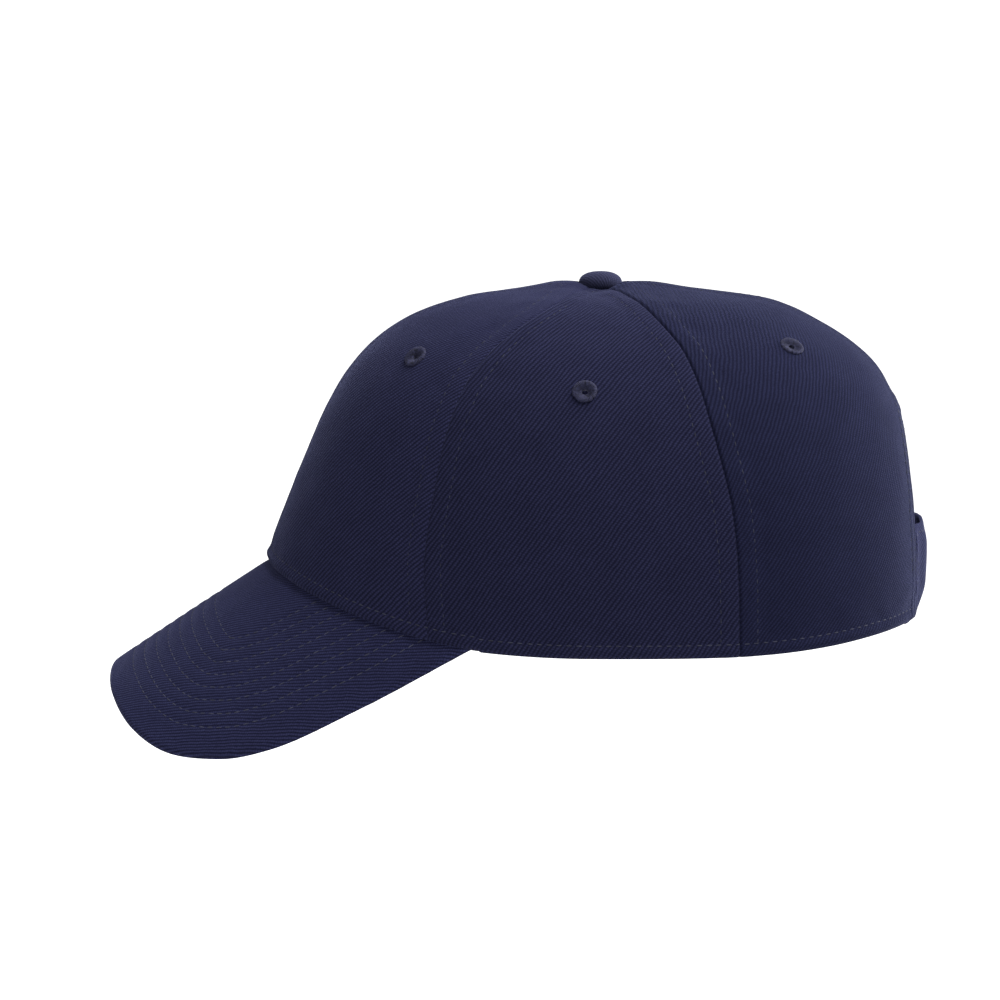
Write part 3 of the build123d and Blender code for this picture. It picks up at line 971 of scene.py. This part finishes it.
def button_piece(name, outer, shrink, drop, material, node, cloth=False):
    """A closed cup made of a dome and a smaller dome inside it. A cloth one ends level."""
    inner = outer * (shrink, shrink, 1) - (0, 0, drop)
    if cloth:
        inner[..., 2] = np.maximum(inner[..., 2], outer[..., 2].min())
    wall = np.concatenate([outer, inner[::-1]])
    over = np.linalg.norm(np.diff(wall, axis=0, prepend=wall[:1]), axis=-1).cumsum(0)
    uv = (unit(wall[..., :2]) * over[..., None]).reshape(-1, 2) if cloth else None
    shape = (wall + BUTTON_MIDDLE).reshape(-1, 3), ring_quads(*wall.shape[:2]), uv
    make_piece(name, shape, material, [node])


# ------------ layers inside the crown


def tape_depth(points, seed):
    """Depth of a tape's inner face: soft swells, with a groove along each row of stitches."""
    groove = 0.22 * bump_at(np.abs(TAPE_OFFSETS), SEAM_STITCH_OFFSET, 0.7)
    return TAPE_DEPTHS[1] + 0.12 * ripple(points, 15, seed) - groove


def seam_tapes(place, seam, material, thread):
    """The tapes down one pair of seams, each with its two rows of stitches."""
    low, top = rim_at(seam), along_at_width(TAPE_TOP_RADIUS)
    along = np.linspace(low + 0.3, top, 110)[:, None] + 0 * TAPE_OFFSETS
    angle = seam_place(seam, along, TAPE_OFFSETS)
    outer = layer_point(angle, along, TAPE_DEPTHS[0])
    inner = layer_point(angle, along, tape_depth(crown_base(angle, along), 31))
    shape = thick_sheet(outer, inner, weave_places(TAPE_OFFSETS, along))
    make_pair(f"{place}_{{}}_tape", shape, material, [f"{place}_{{}}_seam_tape"])
    along = np.linspace(low + 2, top - 2, 260)
    rows = []
    for sign in (-1, 1):
        angle = seam_place(seam, along, sign * SEAM_STITCH_OFFSET)
        line = layer_point(angle, along, TAPE_DEPTHS[1] - 0.12)
        rows.append(stitch_row(line, -crown_normal(angle, along), 61))
    make_pair(f"{place}_{{}}_tape_stitches", joined(rows), thread)


def crest_line(across, front):
    """Points over half the dome at one distance from its middle plane, from its foot to the top."""
    height, ahead, behind, half_width = sections_at(np.linspace(0, SIDE_LINE[-1], 3000))
    side, reach, power = (-1, ahead, FRONT_ROUNDNESS) if front else (1, behind, BACK_ROUNDNESS)
    share = 1 - (abs(across) / half_width) ** power
    fits = share > 0
    back = side * reach[fits] * share[fits] ** (1 / power)
    line = np.stack([np.full_like(back, across), back, height[fits]], -1)
    return np.concatenate([line, [line[-1] * (1, 0, 1)]])


def centre_tape(material, thread):
    """The tape from the front rim over the top to the back arch, with its rows of stitches."""
    columns = []
    for across in TAPE_OFFSETS:
        front, back = crest_line(across, True), crest_line(across, False)[::-1]
        front = front[front[:, 2] > edge_height(front) + 0.3]
        back = back[back[:, 2] > arch_height(across) + 0.4]
        columns.append(np.concatenate([even_steps(front, 95), even_steps(back, 75)[1:]]))
    surface = np.stack(columns, 1)
    normal = unit(np.cross(np.gradient(surface, axis=1), np.gradient(surface, axis=0)))
    normal *= np.sign((normal * (surface - (0, 0, 20.0))).sum(-1, keepdims=True))
    outer = surface - normal * TAPE_DEPTHS[0]
    inner = surface - normal * tape_depth(surface, 32)[..., None]
    middle = len(TAPE_OFFSETS) // 2
    shape = thick_sheet(outer, inner, weave_places(TAPE_OFFSETS, run_length(surface[:, middle])[:, None]))
    make_piece("centre_tape", shape, material, ["centre_seam_tape"])
    rows = [stitch_row(inner[:, k] + normal[:, k] * 0.05, -normal[:, k], 63 + k) for k in (5, 19)]
    make_piece("centre_tape_stitches", joined(rows), thread)


def sweatband(material, thread):
    """The band inside the rim, with a row of stitches near its lower and upper edges."""
    end = back_place(ARCH_HALF_WIDTH + 1.2, 15.0)[0]
    angles = np.linspace(-end, end, 420)
    search = np.linspace(0, RIM_SEARCH, 500)[:, None] + 0 * angles
    points = crown_base(angles + 0 * search, search)
    over_rim = points[..., 2] > look_up(points[..., 1], RIM_TABLE) + 0.7
    low = search[np.argmax(over_rim, axis=0), 0]
    rise = np.concatenate([
        [0, 0.5, 1.1, 1.8, 2.5, 3.2, 4.0], np.linspace(5.5, SWEATBAND_HEIGHT - 4, 20),
        SWEATBAND_HEIGHT - np.array([3.0, 2.2, 1.5, 0.8, 0.3]),
    ])[:, None]
    along = low + rise
    angle = angles + 0 * along
    base, normal = crown_base(angle, along), crown_normal(angle, along)
    swell = 0.35 * ripple(base, 34, 33) * np.clip(rise / 8, 0.2, 1) + 0.07 * ripple(base, 6, 34)
    swell -= 0.35 * bump_at(rise, 2.5, 0.9) + 0.3 * bump_at(rise, SWEATBAND_HEIGHT - 3.0, 0.8)
    near, far = BAND_DEPTHS
    inner = base - normal * (far + np.clip(swell, -0.6, 0.6))[..., None]
    shape = thick_sheet(base - normal * near, inner, weave_places(run_length(base[10]), rise), 0.6)
    make_piece("sweatband_cloth_band", shape, material, ["sweatband"])
    rows = [stitch_row(inner[k] - normal[k] * 0.05, -normal[k], 71 + k) for k in (4, len(rise) - 5)]
    make_piece("sweatband_stitches", joined(rows), thread)


def arch_facing(material):
    """The facing inside the back arch."""
    half = np.stack([even_steps(arch_line(offset), 130) for offset in FACING_OFFSETS], 1)
    angle, along = back_place(*np.moveaxis(whole_arch(half), -1, 0))
    outer, inner = (layer_point(angle, along, depth) for depth in LINING_DEPTHS)
    uv = weave_places(np.arange(len(FACING_OFFSETS)) * 1.3, run_length(outer[:, 2])[:, None])
    make_piece("arch_facing", thick_sheet(outer, inner, uv, 0.2), material, ["arch_binding"])


def buckram(material):
    """The stiff mesh behind both front gores, a little clear of their edges."""
    gap = 0.004
    angle, along = gore_grid(0.0, FRONT_SEAM)[:, ::2, ::2]
    angle = gap + angle * (FRONT_SEAM - 2 * gap) / FRONT_SEAM
    along = along + 0.4
    base = crown_base(angle, along)
    uv = weave_places(angle * axis_distance(base), along)
    outer, inner = (layer_point(angle, along, depth) for depth in LINING_DEPTHS)
    shape = thick_sheet(outer, inner, uv, 0.1, outside_hole("front", base, BUCKRAM_HOLE))
    make_pair("buckram_{}", shape, material, ["front_{}_buckram"])


# ------------ the closure


def closure_point(across, height, lift):
    """A point of the closure: across the back, height, and lift over its curved sheet."""
    level = np.sqrt(CLOSURE_RADIUS**2 - np.clip(across, -60, 60) ** 2) + CLOSURE_CENTRE_Y
    cup = 3.0 * ease(height, 17.0, 4.0) + 0.9 * ease(height, 29.0, 36.5)
    level = level - cup * (1 - ease(np.abs(across), 18.5, 23.0))
    lean = across / CLOSURE_RADIUS
    return np.stack([across + lift * lean, level + lift * np.sqrt(1 - lean**2), height], -1)


def sewn_lift(across):
    """Lift over the closure's sheet of cloth that is sewn in behind the edge of a back gore."""
    height = np.full_like(across, SEWN_HEIGHT)
    wall = crown_base(*back_place(across, height))
    return SEWN_DEPTH + wall[..., 1] - closure_point(across, height, 0 * across)[..., 1]


def strap_lift(across):
    """Lift of the strap's middle: it comes out from behind the right gore and lies over the tab."""
    inside = sewn_lift(across)
    out = ease(across, -22.4, -18.6)
    return inside + (STRAP_LIFT - inside) * out - 1.75 * ease(across, 8.5, 17.5)


def tab_lift(across):
    """Lift of the tab's middle: it goes in behind the left gore."""
    return TAB_LIFT + (sewn_lift(across) - TAB_LIFT) * ease(across, 18.6, 22.4)


def strip_grids(across, lift, thickness, low, high, corner=0.0, wave=0.0):
    """Grids of a strip across the back, with rounded corners at its last end: the points of its
    outer and inner faces, and how far across and how high they are."""
    into = np.clip(across - (across[-1] - corner), 0, corner)
    half = ((high - low) / 2 - corner + np.sqrt(corner**2 - into**2))[:, None]
    rise = np.linspace(-1, 1, 41)
    height = (low + high) / 2 + half * rise
    across = across[:, None] + 0 * height
    spot = np.stack([across, 0 * height, height], -1)
    lift = lift[:, None] + wave * ripple(spot, 26, 51) * ease(across, -20, -8)
    edge = np.minimum(half * (1 - np.abs(rise)), across[-1, 0] - across + 0.01)
    groove, roll = 0.16 * bump_at(edge, STRAP_INSET, 0.7), 0.25 * np.exp(-edge / 0.6)
    outer = closure_point(across, height, lift + thickness / 2 - groove - roll)
    inner = closure_point(across, height, lift - thickness / 2 + 0.5 * groove + 0.4 * roll)
    return outer, inner, across, height


def strip_piece(name, grids, material, nodes, body):
    """A closed piece from the grids of a strip."""
    outer, inner, across, height = grids
    shape = thick_sheet(outer, inner, weave_places(across, height), 0.35)
    return make_piece(name, turned(shape), material, nodes, body)


def between(grid, row, column):
    """Points of a grid between its own, at rows and columns with a fraction."""
    low = np.clip(row.astype(int), 0, len(grid) - 2)
    left = np.clip(column.astype(int), 0, grid.shape[1] - 2)
    up, aside = (row - low)[:, None], (column - left)[:, None]
    first = grid[low, left] * (1 - up) + grid[low + 1, left] * up
    second = grid[low, left + 1] * (1 - up) + grid[low + 1, left + 1] * up
    return first * (1 - aside) + second * aside


def strip_stitches(grids, inset, start, seed):
    """A row of stitches along the border of a strip, from one distance across to its end."""
    outer, inner, across, height = grids
    end = across[-1, 0] - inset
    reached = across[:, 0] <= end
    low, high = height[:, 0] + inset, height[:, -1] - inset
    rise = np.linspace(low[-1] + inset, high[-1] - inset, 14)
    line = np.concatenate([
        np.stack([across[:, 0], low], -1)[reached], np.stack([np.full_like(rise, end), rise], -1),
        np.stack([across[:, 0], high], -1)[reached][::-1],
    ])
    line = line[line[:, 0] > start]
    row = np.interp(line[:, 0], across[:, 0], np.arange(len(across)))
    column = np.array([
        np.interp(level, height[round(nearest)], np.arange(height.shape[1]))
        for nearest, level in zip(row, line[:, 1])
    ])
    top, under = between(outer, row, column), between(inner, row, column)
    return stitch_row(top, unit(top - under), seed)


# ------------ materials

YARN_PITCH = 0.8
MESH_PITCH = 1.5
SHEEN = (0.48, 0.52, 0.95, 1)
NAVY_DARK = (0.0022, 0.0023, 0.0085)
NAVY_LIGHT = (0.0300, 0.0320, 0.0830)
# Painted shade: the side gores are the same navy cloth as the front, with their light colour darkened where
# the side gets less light
SIDE_LIGHT_PAINTED_SHADE = (0.0250, 0.0268, 0.0690)
# Painted shade: the back gores are the same navy cloth, with the light colour darkened and the dark colour
# raised, so the back reads dimmer and flatter
BACK_DARK_PAINTED_SHADE = (0.0040, 0.0044, 0.0130)
BACK_LIGHT_PAINTED_SHADE = (0.0166, 0.0188, 0.0525)
# Painted light: the bill is the same navy cloth as the crown, with its light colour raised to stand in for
# the light that falls on the bill
BILL_LIGHT_WITH_PAINTED_LIGHT = (0.0355, 0.0385, 0.1030)
# Painted light: the button's cloth is the same navy twill, with both colours raised to stand in for the
# light on the top of the cap
BUTTON_DARK_PAINTED_LIGHT = (0.0120, 0.0125, 0.0270)
BUTTON_LIGHT_PAINTED_LIGHT = (0.0390, 0.0412, 0.0880)
TAPE_DARK = (0.006, 0.007, 0.013)


class Signal:
    """A number that a shader node gives. Arithmetic with it adds more nodes."""

    def __init__(self, tree, socket):
        self.tree, self.socket = tree, socket

    def math(self, operation, *others):
        made = self.tree.nodes.new("ShaderNodeMath")
        made.operation = operation
        for value, place in zip((self, *others), made.inputs):
            if isinstance(value, Signal):
                self.tree.links.new(value.socket, place)
            else:
                place.default_value = value
        return Signal(self.tree, made.outputs[0])

    def __add__(self, other):
        return self.math("ADD", other)

    def __sub__(self, other):
        return self.math("SUBTRACT", other)

    def __mul__(self, other):
        return self.math("MULTIPLY", other)

    def wave(self, length):
        """A wave from -1 to 1 that repeats after a length."""
        return (self * (2 * math.pi / length)).math("COSINE")


def set_inputs(node, **values):
    """Constants for the inputs of a node. An underscore stands for a space in an input's name."""
    for name, value in values.items():
        node.inputs[name.replace("_", " ")].default_value = value


class Paint:
    """A material that is put together from shader nodes."""

    def __init__(self, name, roughness, specular):
        self.material = bpy.data.materials.new(name)
        self.material.use_nodes = True
        self.tree = self.material.node_tree
        self.shader = self.tree.nodes["Principled BSDF"]
        set_inputs(self.shader, Roughness=roughness, Specular_IOR_Level=specular)

    def node(self, kind, **values):
        made = self.tree.nodes.new(kind)
        set_inputs(made, **values)
        return made

    def join(self, source, target):
        self.tree.links.new(source, target)

    def noise(self, vector, scale, detail=2.0, roughness=0.5):
        made = self.node("ShaderNodeTexNoise", Scale=scale, Detail=detail, Roughness=roughness)
        self.join(vector, made.inputs["Vector"])
        return Signal(self.tree, made.outputs["Fac"])

    def relief(self, height, stops, depth, strength=1.0, factor=None):
        """Bumps from a height, and a colour from one at a low height to another at a high one."""
        ramp = self.node("ShaderNodeValToRGB")
        for element, (place, colour) in zip(ramp.color_ramp.elements, stops):
            element.position, element.color = place, (*colour, 1)
        self.join(height.socket, ramp.inputs["Fac"])
        colour = ramp.outputs["Color"]
        if factor:
            scaled = self.node("ShaderNodeVectorMath")
            scaled.operation = "SCALE"
            self.join(colour, scaled.inputs[0])
            self.join(factor.socket, scaled.inputs["Scale"])
            colour = scaled.outputs[0]
        self.join(colour, self.shader.inputs["Base Color"])
        bump = self.node("ShaderNodeBump", Distance=depth, Strength=strength)
        self.join(height.socket, bump.inputs["Height"])
        self.join(bump.outputs["Normal"], self.shader.inputs["Normal"])
        return self.material

    def cloth_place(self):
        """Millimetres across and up the cloth, and the vector that holds both."""
        place = self.node("ShaderNodeUVMap")
        place.uv_map = "cloth"
        split = self.node("ShaderNodeSeparateXYZ")
        self.join(place.outputs["UV"], split.inputs[0])
        across, up = (Signal(self.tree, split.outputs[axis]) for axis in "XY")
        return across, up, place.outputs["UV"]


def twill(name, dark, light, rib_degrees, pitch):
    """Diagonal-ribbed woven cloth, with the yarns that cross each rib and a slight fuzz."""
    paint = Paint(name, 0.95, 0.06)
    across, up, place = paint.cloth_place()
    waver = (paint.noise(place, 0.12) - 0.5) * 1.2 + (paint.noise(place, 1.3) - 0.5) * 0.34
    cos_rib, sin_rib = math.cos(math.radians(rib_degrees)), math.sin(math.radians(rib_degrees))
    over = up * cos_rib - across * sin_rib + waver
    forward = across * cos_rib + up * sin_rib
    rib = over.wave(pitch) * 0.5 + 0.5
    yarn = (forward * (1 / YARN_PITCH) + over * (0.5 / pitch)).wave(1) * 0.25 + 0.75
    slub = paint.noise(place, 0.8, 3.0, 0.6) * 1.1 + 0.42
    fuzz = paint.noise(place, 2.6, 4.0, 0.8)
    height = rib * yarn * slub * 0.52 + fuzz * 0.8
    cloud = paint.noise(place, 0.09, 4.0, 0.6) * 0.35 + 0.83
    set_inputs(paint.shader, Sheen_Weight=0.18, Sheen_Roughness=0.28, Sheen_Tint=SHEEN)
    return paint.relief(height, [(0.26, dark), (0.95, light)], 0.0002, 0.9, cloud)


def plain_cloth(name, dark, light, grain, depth=0.0001):
    """Fine plain-woven tape."""
    paint = Paint(name, 0.85, 0.2)
    across, up, place = paint.cloth_place()
    weave = (across - grain / 4).wave(grain) * (up - grain / 4).wave(grain)
    height = weave * 0.3 + 0.5 + paint.noise(place, 1.5, 3.0) * 0.3
    return paint.relief(height, [(0.3, dark), (0.95, light)], depth)


def speckled(name, dark, light, scale, roughness, depth, metal=0.0):
    """A surface with fine grain in its colour and height."""
    paint = Paint(name, roughness, 0.4)
    place = paint.node("ShaderNodeTexCoord").outputs["Object"]
    set_inputs(paint.shader, Metallic=metal)
    return paint.relief(paint.noise(place, scale, 3.0, 0.6), [(0.35, dark), (0.65, light)], depth)


def mesh_cloth(name, dark, light):
    """Open stiff mesh with square holes between its threads."""
    paint = Paint(name, 0.75, 0.3)
    across, up, place = paint.cloth_place()
    thread = across.wave(MESH_PITCH).math("MAXIMUM", up.wave(MESH_PITCH))
    height = thread + paint.noise(place, 1.2) * 0.4
    return paint.relief(height, [(0.12, dark), (0.55, light)], 0.0003)


# Painted shade on the side gores: a darker copy of the navy twill
side_cloth_painted_shade = twill("side_twill_painted_shade", NAVY_DARK, SIDE_LIGHT_PAINTED_SHADE, 54, 1.22)
front_cloth = twill("front_twill", NAVY_DARK, NAVY_LIGHT, 46, 1.34)
# Painted shade on the back gores: a darker, flatter copy of the navy twill
back_cloth_painted_shade = twill("back_twill_painted_shade", BACK_DARK_PAINTED_SHADE, BACK_LIGHT_PAINTED_SHADE, 53, 1.06)
# Painted light on the bill, top and underneath: a brighter copy of the navy twill
bill_cloth_painted_light = twill("bill_twill_painted_light", NAVY_DARK, BILL_LIGHT_WITH_PAINTED_LIGHT, -57, 1.02)
strap_cloth = twill("strap_twill", NAVY_DARK, NAVY_LIGHT, 48, 1.15)
# Painted light on the top button: a brighter copy of the navy twill
button_cloth_painted_light = twill("button_twill_painted_light", BUTTON_DARK_PAINTED_LIGHT, BUTTON_LIGHT_PAINTED_LIGHT, 35, 0.9)
thread = speckled("thread", (0.020, 0.022, 0.040), (0.050, 0.053, 0.094), 900, 0.8, 0.00005)
hem_thread = speckled("hem_thread", (0.012, 0.013, 0.027), (0.034, 0.037, 0.068), 900, 0.8, 0.00005)
seam_thread = speckled("dark_thread", (0.008, 0.009, 0.020), (0.020, 0.023, 0.046), 900, 0.8, 0.00005)
eyelet_thread = speckled("eyelet_thread", (0.0055, 0.006, 0.02), (0.025, 0.0265, 0.072), 1500, 0.85, 0.00006)
tape_cloth = plain_cloth("seam_tape_weave", TAPE_DARK, (0.024, 0.026, 0.042), 0.8)
band_cloth = plain_cloth("sweatband_weave", TAPE_DARK, (0.024, 0.026, 0.043), 0.95, 0.00012)
buckram_mesh = mesh_cloth("buckram_mesh", (0.10, 0.10, 0.12), (0.62, 0.61, 0.58))
loop_pile = speckled("loop_pile", (0.006, 0.006, 0.010), (0.035, 0.036, 0.05), 1700, 0.95, 0.0006)
hook_plastic = speckled("hook_plastic", (0.008, 0.008, 0.011), (0.03, 0.03, 0.036), 1300, 0.5, 0.0004)
metal = speckled("button_metal", (0.42, 0.42, 0.43), (0.55, 0.55, 0.56), 300, 0.32, 0.00002, 1.0)
board = speckled("bill_board", (0.5, 0.5, 0.5), (0.62, 0.62, 0.61), 80, 0.6, 0.00002)


# ------------ the crown and the bill

gore("front", 0.0, FRONT_SEAM, front_cloth, math.radians(27))
gore("side", FRONT_SEAM, BACK_SEAM, side_cloth_painted_shade, math.radians(90))
gore("back", BACK_SEAM, math.pi, back_cloth_painted_shade, math.radians(153))
bill_cover("bill_top", False, bill_cloth_painted_light, "visor_top_cover")
bill_cover("bill_underside", True, bill_cloth_painted_light, "visor_under_cover")
for name, rows, colour in (
    ("bill_top_stitches", bill_stitches(False), thread),
    ("bill_under_stitches", bill_stitches(True), thread),
    ("seam_stitches", seam_stitches(), seam_thread),
    ("hem_stitches", hem_stitches(), hem_thread),
):
    make_piece(name, joined(rows), colour)
for place, spot in EYELETS.items():
    ring = eyelet_ring(*spot)
    make_pair(f"{place}_{{}}_eyelet", ring, eyelet_thread, [f"eyelet_{place}_{{}}"])

cover = dome(36, 126, BUTTON_RADIUS, BUTTON_HEIGHT, BUTTON_BELOW, BUTTON_BASE, 52)
button_piece("button_cloth_painted_light", cover, 0.88, 0.7, button_cloth_painted_light, "button_cover", cloth=True)
shell = dome(16, 64, SHELL_RADIUS, SHELL_HEIGHT, SHELL_BELOW, BUTTON_BASE, 30)
button_piece("button_metal_shell", shell, 0.9, 0.5, metal, "button_shell")
washer = dome(12, 64, WASHER_RADIUS, WASHER_HEIGHT, WASHER_BELOW, WASHER_BASE, 20)
button_piece("button_washer", washer, 0.88, 0.7, metal, "button_back")

seam_tapes("front", FRONT_SEAM, tape_cloth, thread)
seam_tapes("back", BACK_SEAM, tape_cloth, thread)
centre_tape(tape_cloth, thread)
sweatband(band_cloth, thread)
arch_facing(tape_cloth)
buckram(buckram_mesh)
bill_board(board)

# ------------ the strap and what it closes on

# The strap's columns are closest where it comes out from behind the gore
across = np.concatenate([
    np.linspace(STRAP_START, STRAP_BEND[0], 9)[:-1], np.linspace(*STRAP_BEND, 22)[:-1],
    np.linspace(STRAP_BEND[1], STRAP_END - 1.0, 52), STRAP_END - np.array([0.6, 0.3, 0.0]),
])
size = STRAP_THICKNESS, STRAP_LOW, STRAP_HIGH, STRAP_CORNER
grids = strip_grids(across, strap_lift(across), *size, wave=0.25)
strap = strip_piece("strap", grids, strap_cloth, ["closure_strap", "strap_sewn_end"], None)
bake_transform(strap)
strap_rows = [strip_stitches(grids, STRAP_INSET, STRAP_STITCH_START, 81)]
make_piece("strap_stitches", joined(strap_rows), thread, body="strap")
across = np.linspace(*TAB_SPAN, 62)
size = TAB_THICKNESS, STRAP_LOW + TAB_MARGIN, STRAP_HIGH - TAB_MARGIN
grids = strip_grids(across, tab_lift(across), *size)
strip_piece("tab", grids, strap_cloth, ["closure_tab"], "crown")
across = np.linspace(*LOOP_SPAN, 34)
grids = strip_grids(across, 0 * across + LOOP_LIFT, LOOP_THICKNESS, PATCH_LOW, PATCH_HIGH)
strip_piece("loop_patch", grids, loop_pile, ["loop_tape"], "crown")
across = np.linspace(*HOOK_SPAN, 24)
grids = strip_grids(across, 0 * across + HOOK_LIFT, HOOK_THICKNESS, PATCH_LOW, PATCH_HIGH)
strip_piece("hook_patch", grids, hook_plastic, ["hook_tape"], "strap")

# ------------ floor, light and camera

FLOOR_LEVEL = -0.30
FLOOR_REACH = 9.0
corners = [(x * FLOOR_REACH, y * FLOOR_REACH, FLOOR_LEVEL) for x, y in ((-1, -1), (1, -1), (1, 1), (-1, 1))]
floor_mesh = bpy.data.meshes.new("floor")
floor_mesh.from_pydata(corners, [], [(0, 1, 2, 3)])
floor = bpy.data.objects.new("floor", floor_mesh)
bpy.context.scene.collection.objects.link(floor)
paint = Paint("floor_white", 0.9, 0.0)
set_inputs(paint.shader, Base_Color=(0.8, 0.8, 0.8, 1), Emission_Color=(1, 1, 1, 1))
seen = Signal(paint.tree, paint.node("ShaderNodeLightPath").outputs["Is Camera Ray"]) * 0.9
paint.join(seen.socket, paint.shader.inputs["Emission Strength"])
# The floor can be looked through from underneath, so that the inside of the cap can be seen
mixed = paint.node("ShaderNodeMixShader")
paint.join(paint.node("ShaderNodeNewGeometry").outputs["Backfacing"], mixed.inputs[0])
paint.join(paint.shader.outputs[0], mixed.inputs[1])
paint.join(paint.node("ShaderNodeBsdfTransparent").outputs[0], mixed.inputs[2])
paint.join(mixed.outputs[0], paint.tree.nodes["Material Output"].inputs["Surface"])
floor_mesh.materials.append(paint.material)

# The world is white to the camera and dimmer as light on the cap
world = bpy.data.worlds.new("studio")
world.use_nodes = True
bpy.context.scene.world = world
nodes, links = world.node_tree.nodes, world.node_tree.links
path, level = nodes.new("ShaderNodeLightPath"), nodes.new("ShaderNodeMapRange")
set_inputs(nodes["Background"], Color=(1, 1, 1, 1))
set_inputs(level, To_Min=0.42, To_Max=1.15)
links.new(path.outputs["Is Camera Ray"], level.inputs["Value"])
links.new(level.outputs["Result"], nodes["Background"].inputs["Strength"])


def aim(item, place, target):
    """Puts a light or the camera in the scene at a place, facing a point."""
    item.location = place
    item.rotation_euler = (Vector(target) - Vector(place)).to_track_quat("-Z", "Y").to_euler()
    bpy.context.scene.collection.objects.link(item)


# Square lights: name, place, the point they face, size, power and colour
for name, place, target, size, power, colour in (
    ("key", (0.08, 0.6, 1.3), (0, 0, 0.05), 1.0, 34, (1, 1, 1)),
    ("rim", (-0.9, 1.5, 0.62), (0, 0.05, 0.03), 0.9, 32, (0.92, 0.95, 1)),
    ("fill", (1.6, -1.1, 0.5), (0, 0, 0.05), 1.4, 4.5, (1, 1, 1)),
):
    lamp = bpy.data.lights.new(name, "AREA")
    lamp.size, lamp.energy, lamp.color = size, power, colour
    aim(bpy.data.objects.new(name, lamp), place, target)

AZIMUTH, ELEVATION, DISTANCE = math.radians(94), math.radians(6), 1.4
TARGET = Vector((0, -0.0317, 0.0415))
direction = Vector((
    math.sin(AZIMUTH) * math.cos(ELEVATION), -math.cos(AZIMUTH) * math.cos(ELEVATION),
    math.sin(ELEVATION),
))
camera = bpy.data.objects.new("camera", bpy.data.cameras.new("camera"))
aim(camera, TARGET + direction * DISTANCE, TARGET)
camera.data.lens = 154.1
camera.data.sensor_width = 36
camera.data.dof.use_dof = False
bpy.context.scene.camera = camera
bpy.context.scene.view_settings.view_transform = "Standard"
